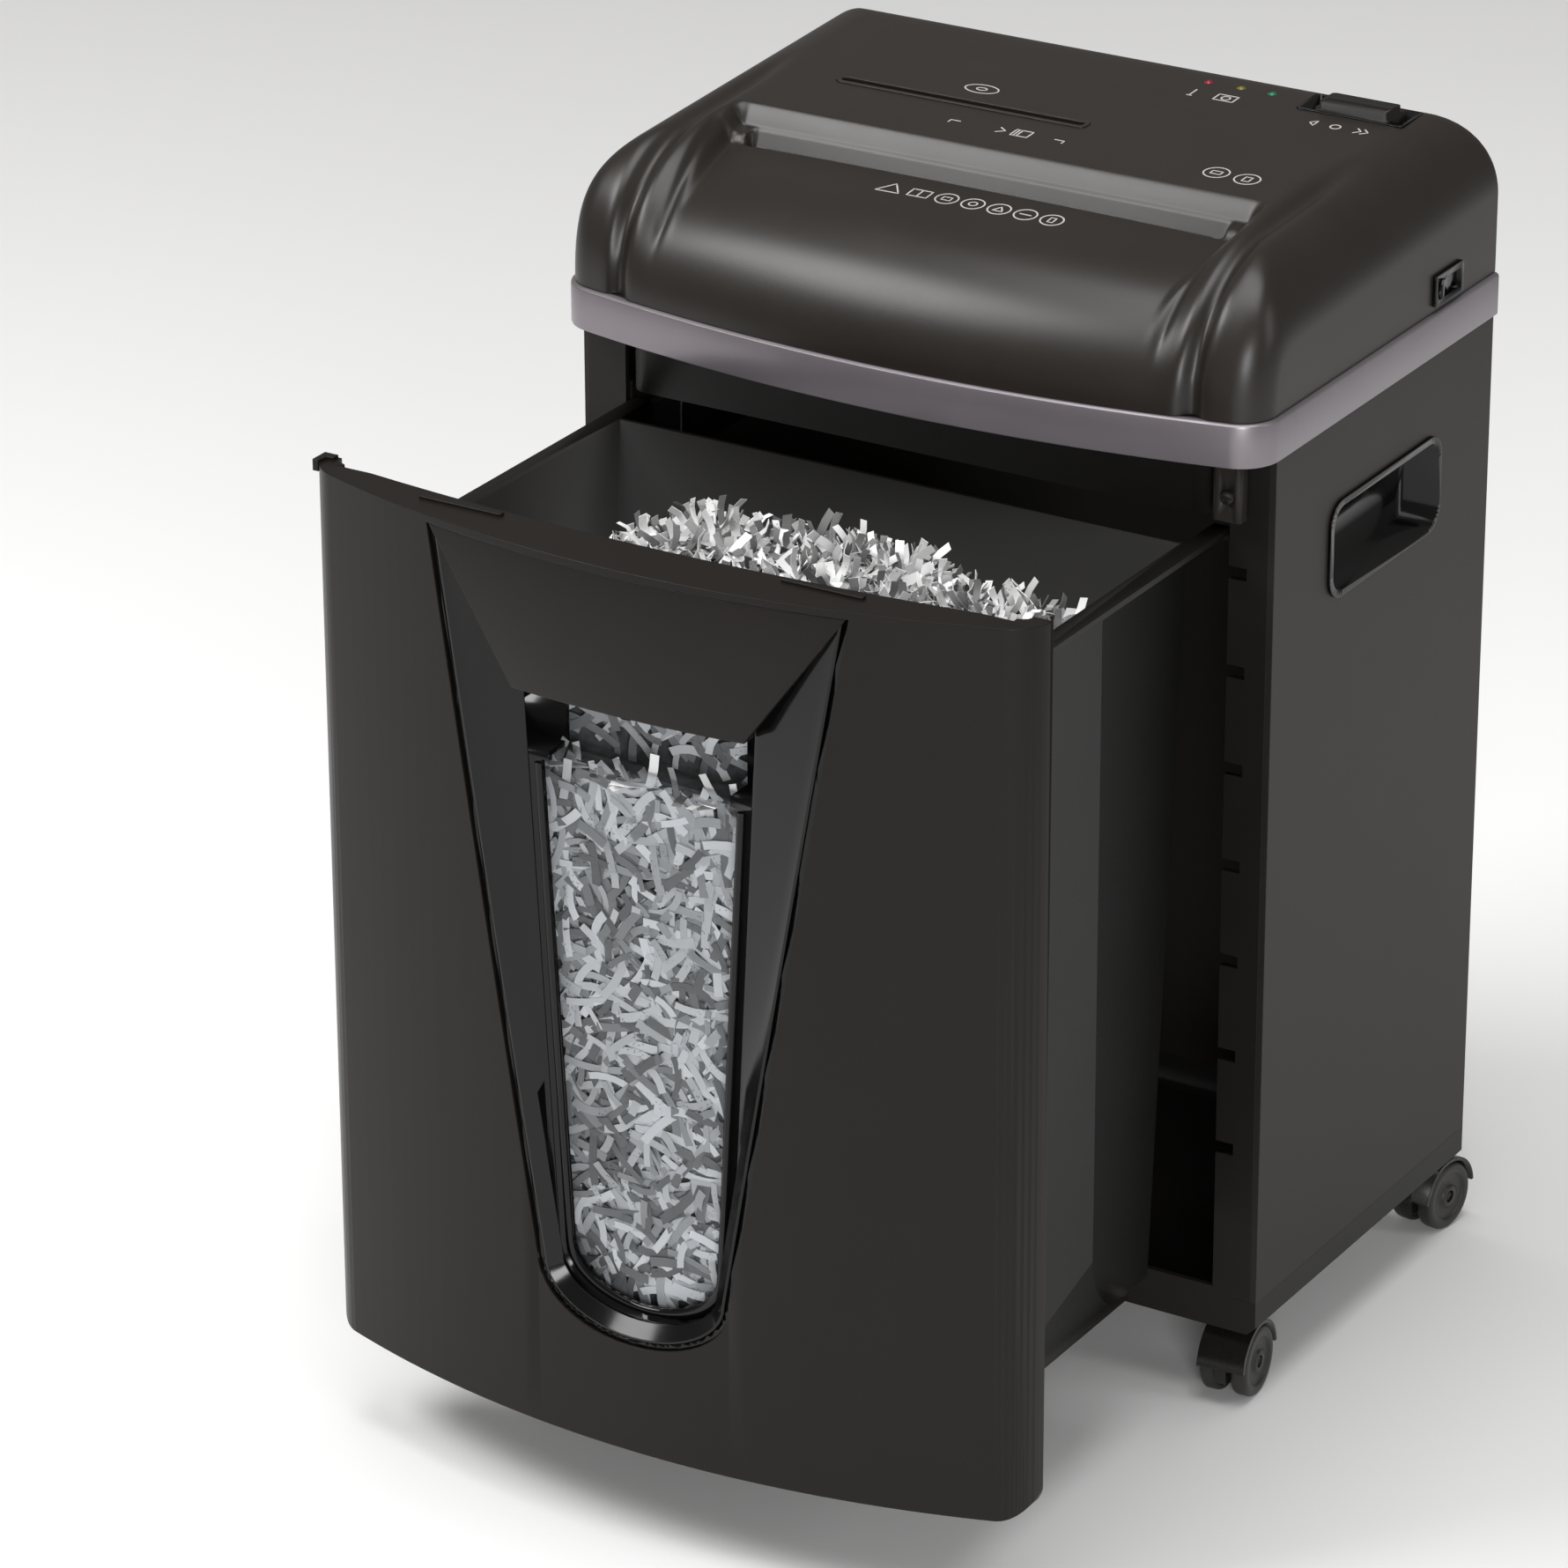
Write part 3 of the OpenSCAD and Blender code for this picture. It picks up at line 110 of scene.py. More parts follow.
class Shader:
    """A material's node tree, built through one method."""

    def __init__(self, name: str) -> None:
        """Makes an empty material.

        Args:
            name: the material's name.
        """
        self.material = bpy.data.materials.new(name)
        self.material.use_nodes = True
        self.tree = self.material.node_tree
        self.tree.nodes.clear()

    def node(self, kind: str, settings: dict | None = None, inputs: dict | None = None,
             out: int | str = 0) -> Wire:
        """Adds a node.

        Args:
            kind: the node's type.
            settings: its properties; "stops" fills a colour ramp.
            inputs: values or wires of its sockets, by name or place.
            out: which output is handed back.

        Returns:
            The wire of that output.
        """
        made = self.tree.nodes.new(kind)
        for key, value in (settings or {}).items():
            if key == "stops":
                ramp = made.color_ramp
                while len(ramp.elements) < len(value):
                    ramp.elements.new(0.5)
                for element, (place, color) in zip(ramp.elements, value):
                    element.position, element.color = place, color
            else:
                setattr(made, key, value)
        for key, value in (inputs or {}).items():
            if isinstance(value, Wire):
                self.tree.links.new(value.socket, made.inputs[key])
            else:
                made.inputs[key].default_value = value
        return Wire(self, made.outputs[out])

    def place(self) -> Wire:
        """Object coordinates, in metres."""
        return self.node("ShaderNodeTexCoord", out="Object")

    def noise(self, size_mm: float, detail: float = 2.0, where: Wire | None = None) -> Wire:
        """Noise whose cells are about size_mm across."""
        return self.node("ShaderNodeTexNoise", inputs={
            "Vector": where or self.place(), "Scale": 1000.0 / size_mm, "Detail": detail,
            "Roughness": 0.55})

    def mix(self, factor: object, first: object, second: object) -> Wire:
        """Mix of two colours."""
        return self.node("ShaderNodeMix", {"data_type": "RGBA"},
                         {0: factor, 6: first, 7: second}, out=2)

    def finish(self, surface: Wire) -> bpy.types.Material:
        """Links the surface to the output.

        Args:
            surface: the shader to show.

        Returns:
            The finished material.
        """
        end = self.tree.nodes.new("ShaderNodeOutputMaterial")
        self.tree.links.new(surface.socket, end.inputs["Surface"])
        return self.material


def shade(color: tuple[float, float, float], factor: float) -> tuple[float, float, float, float]:
    """A colour made lighter or darker, with alpha 1."""
    return tuple(min(1.0, c * factor) for c in color) + (1.0,)


class Dress:
    """A finish whose material is built once, under a name that no slot has."""

    name: str

    def material(self) -> bpy.types.Material:
        """Finds the material, or builds it at its first use."""
        name = self.name + "_finish"
        return bpy.data.materials.get(name) or self.made(Shader(name))

    def made(self, sh: Shader) -> bpy.types.Material:
        """Builds the material; each kind of finish has its own."""
        raise NotImplementedError


@dataclass(frozen=True)
class Finish(Dress):
    """A moulded, painted or machined finish.

    Args:
        name: the material's name.
        color: base colour, linear.
        roughness: mean roughness.
        metallic: 0 for plastic, 1 for bare metal.
        grain: size of the surface grain in mm.
        depth: height of the grain in mm.
        mottle: share by which the colour wanders.
        edge: radius in mm by which sharp edges catch the light.
        coat: clear coat weight.
        wear: share of lightening along sharp edges.
        stretch: scale of the grain along X, Y and Z.
        glow: emission strength in the base colour.
        specular: specular level.
    """

    name: str
    color: tuple[float, float, float]
    roughness: float
    metallic: float = 0.0
    grain: float = 0.9
    depth: float = 0.02
    mottle: float = 0.08
    edge: float = 0.5
    coat: float = 0.0
    wear: float = 0.0
    stretch: tuple[float, float, float] = (1.0, 1.0, 1.0)
    glow: float = 0.0
    specular: float = 0.5

    def made(self, sh: Shader) -> bpy.types.Material:
        """Builds the material.

        Args:
            sh: the empty material.

        Returns:
            The finished material.
        """
        where = sh.node("ShaderNodeMapping", inputs={"Vector": sh.place(),
                                                     "Scale": self.stretch})
        fine = sh.noise(self.grain, 2.0, where)
        broad = sh.noise(BROAD_MM, 3.0)
        tone = sh.node("ShaderNodeMapRange", inputs={
            0: broad * 0.7 + fine * 0.3, 1: 0.3, 2: 0.7, 3: 0.0, 4: 1.0})
        color = sh.mix(tone, shade(self.color, 1 - self.mottle), shade(self.color, 1 + self.mottle))
        rounded = sh.node("ShaderNodeBevel", {"samples": 4}, {"Radius": self.edge * MM})
        if self.wear:
            true = sh.node("ShaderNodeNewGeometry", out="Normal")
            bend = sh.node("ShaderNodeVectorMath", {"operation": "DOT_PRODUCT"},
                           {0: rounded, 1: true}, out="Value")
            worn = sh.node("ShaderNodeMapRange", inputs={0: 1.0 - bend, 1: 0.02, 2: 0.2,
                                                         3: 0.0, 4: self.wear})
            color = sh.mix(worn, color, shade(self.color, 3.0))
        rough = fine * 0.1 + broad * 0.06 + (self.roughness - 0.08)
        bump = sh.node("ShaderNodeBump", inputs={"Strength": 0.7, "Distance": self.depth * MM,
                                                 "Height": fine, "Normal": rounded})
        inputs = {"Base Color": color, "Roughness": rough, "Normal": bump,
                  "Metallic": self.metallic, "Coat Weight": self.coat,
                  "Coat Roughness": 0.08, "Specular IOR Level": self.specular}
        if self.glow:
            inputs.update({"Emission Color": shade(self.color, 1.0),
                           "Emission Strength": self.glow})
        return sh.finish(sh.node("ShaderNodeBsdfPrincipled", inputs=inputs))


@dataclass(frozen=True)
class Clear(Dress):
    """Clear moulded plastic that shows what is behind it."""

    name: str
    tint: tuple[float, float, float] = (0.9, 0.91, 0.92)

    def made(self, sh: Shader) -> bpy.types.Material:
        """Builds a gloss over a clear sheet.

        Args:
            sh: the empty material.

        Returns:
            The finished material.
        """
        haze = sh.noise(60.0, 2.0) * 0.05 + 0.02
        gloss = sh.node("ShaderNodeBsdfPrincipled", inputs={
            "Base Color": (0.02, 0.02, 0.02, 1.0), "Roughness": haze + 0.01})
        clear = sh.node("ShaderNodeBsdfTransparent", inputs={"Color": self.tint + (1.0,)})
        share = sh.node("ShaderNodeFresnel", inputs={"IOR": 1.3}) * 0.7 + haze * 0.06
        return sh.finish(sh.node("ShaderNodeMixShader", inputs={0: share, 1: clear, 2: gloss}))


@dataclass(frozen=True)
class Paper(Dress):
    """Office paper in shreds, each strip of its own shade, some with traces of print."""

    name: str
    light: float = 0.80
    dark: float = 0.30
    prints: bool = True

    def made(self, sh: Shader) -> bpy.types.Material:
        """Builds the material.

        Args:
            sh: the empty material.

        Returns:
            The finished material.
        """
        tone = (sh.node("ShaderNodeAttribute", {"attribute_name": "shade"}, out="Fac")
                if self.prints else sh.noise(9.0, 3.0))
        color = sh.node("ShaderNodeValToRGB", {"stops": [
            (0.0, (self.dark,) * 3 + (1.0,)), (0.25, (self.light * 0.32,) * 3 + (1.0,)),
            (0.6, (self.light * 0.85,) * 3 + (1.0,)), (1.0, (self.light * 1.25,) * 3 + (1.0,))]},
            {0: tone})
        fibre = sh.noise(0.5, 2.0)
        if self.prints:
            marks = sh.node("ShaderNodeTexVoronoi", {"feature": "F1"},
                            {"Vector": sh.place(), "Scale": 620.0}, out="Distance")
            rows = sh.noise(14.0, 1.0)
            ink = sh.node("ShaderNodeMapRange", inputs={0: marks, 1: 0.22, 2: 0.3, 3: 0.55,
                                                        4: 0.0})
            some = sh.node("ShaderNodeMapRange", inputs={0: rows, 1: 0.6, 2: 0.64, 3: 0.0,
                                                         4: 1.0})
            color = sh.mix(ink * some, color, (0.08, 0.08, 0.085, 1.0))
        bump = sh.node("ShaderNodeBump", inputs={"Strength": 0.35, "Distance": 0.05 * MM,
                                                 "Height": fibre})
        return sh.finish(sh.node("ShaderNodeBsdfPrincipled", inputs={
            "Base Color": color, "Roughness": fibre * 0.1 + 0.72, "Normal": bump,
            "Specular IOR Level": 0.3}))


class Look:
    """The object's finishes."""

    charcoal = Finish("textured_charcoal", (0.0140, 0.0112, 0.0094), 0.35, grain=0.7,
                      depth=0.03, mottle=0.12, edge=0.8, wear=0.06, specular=0.38)
    side = Finish("side_charcoal", (0.0175, 0.0145, 0.0125), 0.45, grain=0.8, depth=0.035,
                  mottle=0.12, edge=0.6, wear=0.08, specular=0.24)
    panel = Finish("bin_black", (0.0074, 0.0056, 0.0046), 0.33, grain=0.7, depth=0.02,
                   mottle=0.08, edge=0.9, wear=0.05, specular=0.20)
    bin = Finish("bin_wall_black", (0.0048, 0.0042, 0.0036), 0.42, grain=0.9, depth=0.02,
                 edge=0.5, specular=0.24)
    frame = Finish("frame_black", (0.0085, 0.0074, 0.0066), 0.46, grain=0.9, depth=0.03,
                   edge=0.6, specular=0.26)
    gloss = Finish("gloss_black", (0.0035, 0.0034, 0.0034), 0.13, grain=12.0, depth=0.012,
                   mottle=0.05, edge=0.5, specular=0.28)
    band = Finish("band_grey", (0.21, 0.19, 0.205), 0.36, metallic=0.6, grain=0.35,
                  depth=0.006, mottle=0.06, edge=0.3, coat=0.15)
    red = Finish("red_lens", (0.22, 0.006, 0.020), 0.2, grain=0.5, depth=0.004, glow=0.01)
    amber = Finish("amber_lens", (0.12, 0.095, 0.006), 0.2, grain=0.5, depth=0.004, glow=0.01)
    green = Finish("green_lens", (0.006, 0.12, 0.060), 0.2, grain=0.5, depth=0.004, glow=0.01)
    board = Finish("circuit_board", (0.02, 0.12, 0.05), 0.35, grain=1.5, depth=0.03)
    steel = Finish("steel", (0.55, 0.55, 0.56), 0.32, metallic=1.0, grain=0.5, depth=0.008,
                   stretch=(1.0, 1.0, 12.0), mottle=0.05)
    bronze = Finish("bush_bronze", (0.50, 0.33, 0.15), 0.4, metallic=1.0, grain=0.3, depth=0.01)
    nylon = Finish("pale_nylon", (0.62, 0.60, 0.53), 0.45, grain=0.9, depth=0.01)
    caster = Finish("caster_black", (0.0085, 0.0078, 0.0072), 0.26, grain=0.8, depth=0.012,
                    specular=0.4)
    tread = Finish("caster_tread", (0.014, 0.013, 0.012), 0.44, grain=0.6, depth=0.03)
    ink = Finish("pale_print", (0.40, 0.38, 0.37), 0.6, grain=0.25, depth=0.004, mottle=0.12,
                 edge=0.02)
    window = Clear("window_clear")
    shreds = Paper("paper_shreds", light=0.74, dark=0.10)
    # paper lighter than the heap's: painted light, making up for the light that the window and the
    # bin's front keep from the strips behind them
    packed = Paper("paper_packed", light=0.86, dark=0.22)
    # paper far darker than real paper: painted shade, for the dark gaps between the strips
    heap = Paper("paper_heap", light=0.16, dark=0.03, prints=False)


# ---------------------------------------------------------------- mesh helpers


def solid(name: str, verts: list, faces: list, lift: float = 0.0,
          merge: float = 0.0) -> bpy.types.Mesh:
    """Makes a mesh with its faces turned outwards.

    Args:
        name: the mesh's name.
        verts: points in mm.
        faces: faces by index.
        lift: distance in mm added to Y.
        merge: points closer than this are joined, in metres.

    Returns:
        The mesh.
    """
    mesh = bpy.data.meshes.new(name)
    mesh.from_pydata([(x * MM, (y + lift) * MM, z * MM) for x, y, z in verts], [],
                     [tuple(int(i) for i in f) for f in faces])
    work = bmesh.new()
    work.from_mesh(mesh)
    if merge:
        bmesh.ops.remove_doubles(work, verts=work.verts, dist=merge)
    bmesh.ops.recalc_face_normals(work, faces=work.faces)
    work.to_mesh(mesh)
    work.free()
    return mesh


def linked(name: str, data: bpy.types.ID) -> bpy.types.Object:
    """Makes an object of the data and links it to the scene."""
    obj = bpy.data.objects.new(name, data)
    bpy.context.scene.collection.objects.link(obj)
    return obj


def piece(name: str, verts: list, faces: list, finish: Dress, body: Body | str,
          replaces: tuple[str, ...] = (), angle: float = 32.0,
          lift: float = 0.0) -> bpy.types.Object:
    """Makes a finished piece from points in mm.

    Args:
        name: the piece's name.
        verts: points in mm, in the row's frame once lift is added to Y.
        faces: faces by index.
        finish: one of Look's finishes.
        body: the body that it rides on.
        replaces: CAD nodes that it stands for.
        angle: edges sharper than this stay sharp, in degrees.
        lift: distance in mm added to Y.

    Returns:
        The object.
    """
    mesh = solid(name, verts, faces, lift, 1e-7)
    return settle(bpy.data.objects.new(name, mesh), finish, body, replaces, angle)


def settle(obj: bpy.types.Object, finish: Dress, body: Body | str,
           replaces: tuple[str, ...] = (), angle: float = 32.0) -> bpy.types.Object:
    """Smooths, dresses and hangs a finished mesh object on its body.

    Args:
        obj: the object, at the origin.
        finish: one of Look's finishes.
        body: the body that it rides on.
        replaces: CAD nodes that it stands for.
        angle: edges sharper than this stay sharp, in degrees.

    Returns:
        The object.
    """
    if obj.name not in bpy.context.scene.collection.objects:
        bpy.context.scene.collection.objects.link(obj)
    mesh = obj.data
    mesh.polygons.foreach_set("use_smooth", [True] * len(mesh.polygons))
    mesh.set_sharp_from_angle(angle=math.radians(angle))
    mesh.materials.clear()
    mesh.materials.append(finish.material())
    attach(obj, body.value if isinstance(body, Body) else body)
    if replaces:
        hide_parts(*replaces)
    log.info("%s: %d faces", obj.name, len(mesh.polygons))
    return obj


def evaluated(obj: bpy.types.Object, name: str) -> bpy.types.Object:
    """Turns an object into a plain one with its modifiers applied; the old one goes.

    Args:
        obj: the object with modifiers.
        name: the new object's name.

    Returns:
        The new object.
    """
    graph = bpy.context.evaluated_depsgraph_get()
    mesh = bpy.data.meshes.new_from_object(obj.evaluated_get(graph))
    bpy.data.objects.remove(obj)
    mesh.name = name
    return linked(name, mesh)


def box(lo: tuple[float, float, float], hi: tuple[float, float, float]) -> tuple[list, list]:
    """Makes a box.

    Args:
        lo: its lowest corner.
        hi: its highest corner.

    Returns:
        Points and faces.
    """
    verts = [(x, y, z) for z in (lo[2], hi[2]) for y in (lo[1], hi[1]) for x in (lo[0], hi[0])]
    faces = [(0, 2, 3, 1), (4, 5, 7, 6), (0, 1, 5, 4), (2, 6, 7, 3), (0, 4, 6, 2), (1, 3, 7, 5)]
    return verts, faces


def joined(*parts: tuple[list, list]) -> tuple[list, list]:
    """Puts several point and face lists into one.

    Args:
        parts: points and faces of each.

    Returns:
        Points and faces of all.
    """
    verts, faces = [], []
    for more_verts, more_faces in parts:
        start = len(verts)
        verts += list(more_verts)
        faces += [tuple(i + start for i in f) for f in more_faces]
    return verts, faces


def tube(rings: list[list], closed: bool = False) -> tuple[list, list]:
    """Joins rings of equal length into a tube.

    Args:
        rings: points of each ring.
        closed: whether the last ring joins the first; an open tube gets flat ends.

    Returns:
        Points and faces.
    """
    n, count = len(rings[0]), len(rings)
    verts = [p for ring in rings for p in ring]
    faces = []
    for i in range(count if closed else count - 1):
        a, b = i * n, ((i + 1) % count) * n
        faces += [(a + k, a + (k + 1) % n, b + (k + 1) % n, b + k) for k in range(n)]
    if not closed:
        faces += [tuple(range(n)), tuple(range(len(verts) - 1, len(verts) - n - 1, -1))]
    return verts, faces


def prism(outline: list[tuple[float, float]], low: float, high: float) -> tuple[list, list]:
    """Raises an outline in the XY plane."""
    return tube([[(x, y, low) for x, y in outline], [(x, y, high) for x, y in outline]])


def bar(cx: float, cy: float, w: float, h: float, r: float, low: float,
        high: float) -> tuple[list, list]:
    """Makes an upright bar with round corners.

    Args:
        cx: middle in X.
        cy: middle in Y.
        w: width in X.
        h: width in Y.
        r: radius of its corners.
        low: height of its foot.
        high: height of its top.

    Returns:
        Points and faces.
    """
    ring = []
    for k, (sx, sy) in enumerate(CORNERS):
        for i in range(7):
            a = math.pi / 2 * (k + i / 6)
            ring.append((cx + sx * (w / 2 - r) + r * math.cos(a),
                         cy + sy * (h / 2 - r) + r * math.sin(a)))
    return prism(ring, low, high)


def refined(node: str, finish: Dress, body: str) -> None:
    """Makes a merged, smooth-shaded copy of a CAD node, which stands for it.

    Args:
        node: the CAD node.
        finish: one of Look's finishes.
        body: the body that it rides on.
    """
    mesh = frame["nodes"][node].data.copy()
    work = bmesh.new()
    work.from_mesh(mesh)
    bmesh.ops.remove_doubles(work, verts=work.verts, dist=2e-6)
    work.to_mesh(mesh)
    work.free()
    settle(bpy.data.objects.new(node + "_finished", mesh), finish, body, (node,))


def ease(value: np.ndarray | float) -> np.ndarray | float:
    """Smooth step from 0 to 1."""
    t = np.clip(value, 0.0, 1.0)
    return t * t * (3 - 2 * t)


@dataclass(frozen=True)
class Bow:
    """Outline from above: straight sides, a bowed front and round front corners, in mm."""

    half: float
    front: float
    back: float
    radius: float
    corner: float

    def line(self, steps: int = 40, turn: int = 12) -> list[tuple[float, float, float, float]]:
        """Follows the outline from the right back corner to the left one.

        Args:
            steps: points along the whole bow.
            turn: steps round each corner.

        Returns:
            X and Y of each point and of its outward normal.
        """
        bow_y = self.radius - self.front
        cx = self.half - self.corner
        reach = self.radius - self.corner
        cy = bow_y - math.sqrt(reach**2 - cx**2)
        last = math.atan2(cy - bow_y, cx)
        made = [(self.half, self.back, 1.0, 0.0)]
        for i in range(turn + 1):
            a = last * i / turn
            made.append((cx + self.corner * math.cos(a), cy + self.corner * math.sin(a),
                         math.cos(a), math.sin(a)))
        for i in range(1, steps // 2 + 1):
            a = last + (-math.pi / 2 - last) * i / (steps // 2)
            made.append((self.radius * math.cos(a), bow_y + self.radius * math.sin(a),
                         math.cos(a), math.sin(a)))
        return made + [(-x, y, -nx, ny) for x, y, nx, ny in reversed(made[:-1])]

    def sweep(self, profile: list[tuple[float, float]]) -> tuple[list, list]:
        """Sweeps a closed profile of (distance outwards, height) along the line."""
        return tube([[(x + nx * d, y + ny * d, z) for d, z in profile]
                     for x, y, nx, ny in self.line()])


# ---------------------------------------------------------------- head


@dataclass
class CutterHead:
    """Top cover, its throat and the grey band; sizes in mm, Y from the cabinet's middle."""

    half: float = 180.0
    front: float = 143.0
    back: float = 106.0
    bow: float = 770.0
    corner: float = 18.0
    top: float = 568.0
    slope: float = 2.5
    side_r: float = 38.0
    back_r: float = 18.0
    wall: float = 3.0
    crease_x: float = 148.0
    crease_drop: float = 3.6
    ledge_half: float = 137.0
    ledge_drop: float = 8.5
    strip_half: float = 125.5
    lobe_drop: float = 11.5
    groove: float = 2.3           # depth and half width of the curved grooves
    shoulder_x: float = 128.0     # where the nose starts to turn into a shoulder
    shoulder_w: float = 26.0
    nose_deep: float = 97.0       # length in Y of the rounded nose at the middle
    shoulder_deep: float = 75.0   # and at the shoulders

    def front_line(self, x: np.ndarray, inset: float = 0.0) -> np.ndarray:
        """Finds the cover's foot in front, with the creases beside the shoulders.

        Args:
            x: places across.
            inset: distance inwards from the outer surface.

        Returns:
            Y of the foot at each place.
        """
        ax = np.minimum(np.abs(x), self.half - inset)
        bow_y = self.bow - self.front
        cx = self.half - self.corner
        reach = self.bow - self.corner
        cy = bow_y - math.sqrt(reach**2 - cx**2)
        radius, corner = self.bow - inset, self.corner - inset
        arc = bow_y - np.sqrt(radius**2 - ax**2)
        turn = cy - np.sqrt(np.maximum(corner**2 - (ax - cx) ** 2, 0.0))
        y = np.where(ax < cx * self.bow / reach, arc, turn)
        return y + 4.5 * np.exp(-(((ax - self.crease_x) / 4.5) ** 2))

    def height(self, x: np.ndarray, y: np.ndarray, inset: float = 0.0) -> np.ndarray:
        """Finds the height of the cover's surface.

        Args:
            x: X of each point.
            y: Y of each point.
            inset: distance inwards from the outer surface.

        Returns:
            Z of each point.
        """
        ax = np.abs(x)
        top = self.top - (self.back - self.back_r - y) * math.tan(math.radians(self.slope))
        start = self.front_line(x, inset)
        blend = ease((ax - self.shoulder_x) / self.shoulder_w)
        deep = self.nose_deep - (self.nose_deep - self.shoulder_deep) * blend
        power = 2.0 + 0.5 * blend
        t = np.clip((y - start) / deep, 0.0, 1.0)
        rise = top - HEAD_BASE
        nose = rise * (1 - (1 - (1 - t) ** power) ** (1 / power))
        r = self.side_r - inset
        ds = np.clip(self.half - inset - ax, 0.0, r)
        side = r - np.sqrt(np.maximum(r**2 - (r - ds) ** 2, 0.0))
        rb = self.back_r
        db = np.clip(self.back - inset - y, 0.0, rb)
        rear = rb - np.sqrt(np.maximum(rb**2 - (rb - db) ** 2, 0.0))
        z = top - (nose**4 + side**4 + rear**4) ** 0.25
        z -= self.hollow(ax, y, start)
        return np.maximum(z - inset, HEAD_BASE + 0.8 - 0.6 * inset)

    def hollow(self, ax: np.ndarray, y: np.ndarray, start: np.ndarray) -> np.ndarray:
        """Adds up the ledge, lobe, grooves and creases.

        Args:
            ax: distance of each point from the middle.
            y: Y of each point.
            start: Y of the foot in front of each point.

        Returns:
            Depth below the plain form.
        """
        edge = self.ledge_half - 9 * ease((-46 - y) / 75)
        inside = ease((edge + 2 - ax) / 9)
        slope = self.ledge_drop * np.clip((-37.6 - y) / 7.0, 0, 1) ** 1.15 * inside
        strip = (self.ledge_drop * np.clip((-45.0 - y) / 5.4, 0, 1)
                 * ease((self.strip_half - ax) / 4))
        lobe = self.lobe_drop * (1 - ease((-56 - y) / 74)) * inside
        t = ease((-52.0 - y) / 5.0)
        ends = ease((ax - self.strip_half + 1) / 8)
        depth = (slope + strip) * (1 - t) + lobe * t
        depth = np.where(y > -60, depth * (1 - ends) + ends * (
            slope * (1 - t) + lobe * t), depth)
        fade = ease((-44 - y) / 20) * ease((y + 131) / 22)
        groove = self.groove * np.exp(-(((ax - edge - 1.0) / self.groove) ** 2)) * fade
        crease = self.crease_drop * np.exp(-(((ax - self.crease_x) / 5.0) ** 2))
        crease = crease * ease((38 - y) / 60)
        crease = crease * ease((y - start) / 3)
        return depth + groove + crease

    def stations(self) -> tuple[np.ndarray, np.ndarray]:
        """Places the grid's lines.

        Returns:
            X of the lines, and the stations along them: a share of the way from the foot to
            SPLIT_Y, or STRAIGHT less a plain Y.
        """
        def run(a: float, b: float, step: float) -> list[float]:
            """Even places from a up to b, without b."""
            return list(np.linspace(a, b, max(2, int(abs(b - a) / step) + 1))[:-1])
        outer = [180 - 26 * (1 - math.cos(math.pi / 2 * i / 22)) for i in range(22)]
        right = outer + run(154, 142, 0.9) + run(142, 116, 1.0) + run(116, 0, 4.0)
        xs = np.array(sorted(set([-v for v in right] + right + [0.0])))
        ahead = [1 - math.cos(math.pi / 2 * i / 48) for i in range(48)]
        rear = run(SPLIT_Y, -34, 0.7) + run(-34, 86, 4.0)
        rear += [88 + 18 * math.sin(math.pi / 2 * i / 10) for i in range(11)]
        return xs, np.array(ahead + [STRAIGHT - v for v in rear])

    def surface(self, inset: float) -> np.ndarray:
        """Makes the grid of points of one surface.

        Args:
            inset: 0 for the outer surface, or the wall for the inner one.

        Returns:
            The points, as an array of rows.
        """
        xs, vs = self.stations()
        k = (self.half - inset) / self.half
        gx = np.repeat((xs * k)[:, None], len(vs), axis=1)
        foot = self.front_line(gx[:, 0], inset)[:, None]
        share = np.where(vs < 0, 0.0, vs)[None, :]
        straight = np.minimum((STRAIGHT - vs)[None, :], self.back - inset)
        gy = np.where(vs[None, :] < 0, straight, foot + (SPLIT_Y - foot) * share)
        gz = self.height(gx, gy, inset)
        return np.stack([gx, gy, gz], axis=2)

    def shell(self) -> tuple[list, list]:
        """Makes the cover as a closed shell without its openings.

        Returns:
            Points and faces.
        """
        verts, faces, loops = [], [], []
        for inset in (0.0, self.wall):
            grid = self.surface(inset)
            nx, ny = grid.shape[:2]
            at = np.arange(nx * ny).reshape(nx, ny) + len(verts)
            verts += [tuple(p) for p in grid.reshape(-1, 3)]
            flip = inset > 0
            for i in range(nx - 1):
                for j in range(ny - 1):
                    f = (at[i, j], at[i + 1, j], at[i + 1, j + 1], at[i, j + 1])
                    faces.append(f[::-1] if flip else f)
            rim = [*at[:, 0], *at[-1, 1:], *at[-2::-1, -1], *at[0, -2:0:-1]]
            foot = len(verts)
            verts += [(verts[k][0], verts[k][1], HEAD_BASE) for k in rim]
            n = len(rim)
            for k in range(n):
                f = (rim[k], foot + k, foot + (k + 1) % n, rim[(k + 1) % n])
                faces.append(f[::-1] if flip else f)
            loops.append(foot)
        for k in range(n):
            faces.append((loops[0] + k, loops[1] + k, loops[1] + (k + 1) % n,
                          loops[0] + (k + 1) % n))
        return verts, faces

    def cutters(self) -> tuple[list, list]:
        """Makes what is cut out of the cover: slots, pocket, lights, switch and gland.

        Returns:
            Points and faces of all the cutters.
        """
        parts = [box((-115.0, -52.6, 480.0), (115.0, -49.8, 600.0)),
                 bar(-45, 7, 132.4, 9.4, 3.6, 520, 600),
                 bar(121, 81, 54.3, 23.3, 2.0, 540, 600),
                 box((174.0, 43.2, 498.2), (190.0, 68.8, 507.8))]
        parts += [bar(x, 81, 4.6, 4.6, 2.29, 540, 600) for x in (43, 60, 76)]
        ring = [(-120 + 7.1 * math.cos(a), 515 + 7.1 * math.sin(a))
                for a in np.linspace(0, 2 * math.pi, 25)[:-1]]
        parts.append(tube([[(x, y, z) for x, z in ring] for y in (98.0, 112.0)]))
        return joined(*parts)

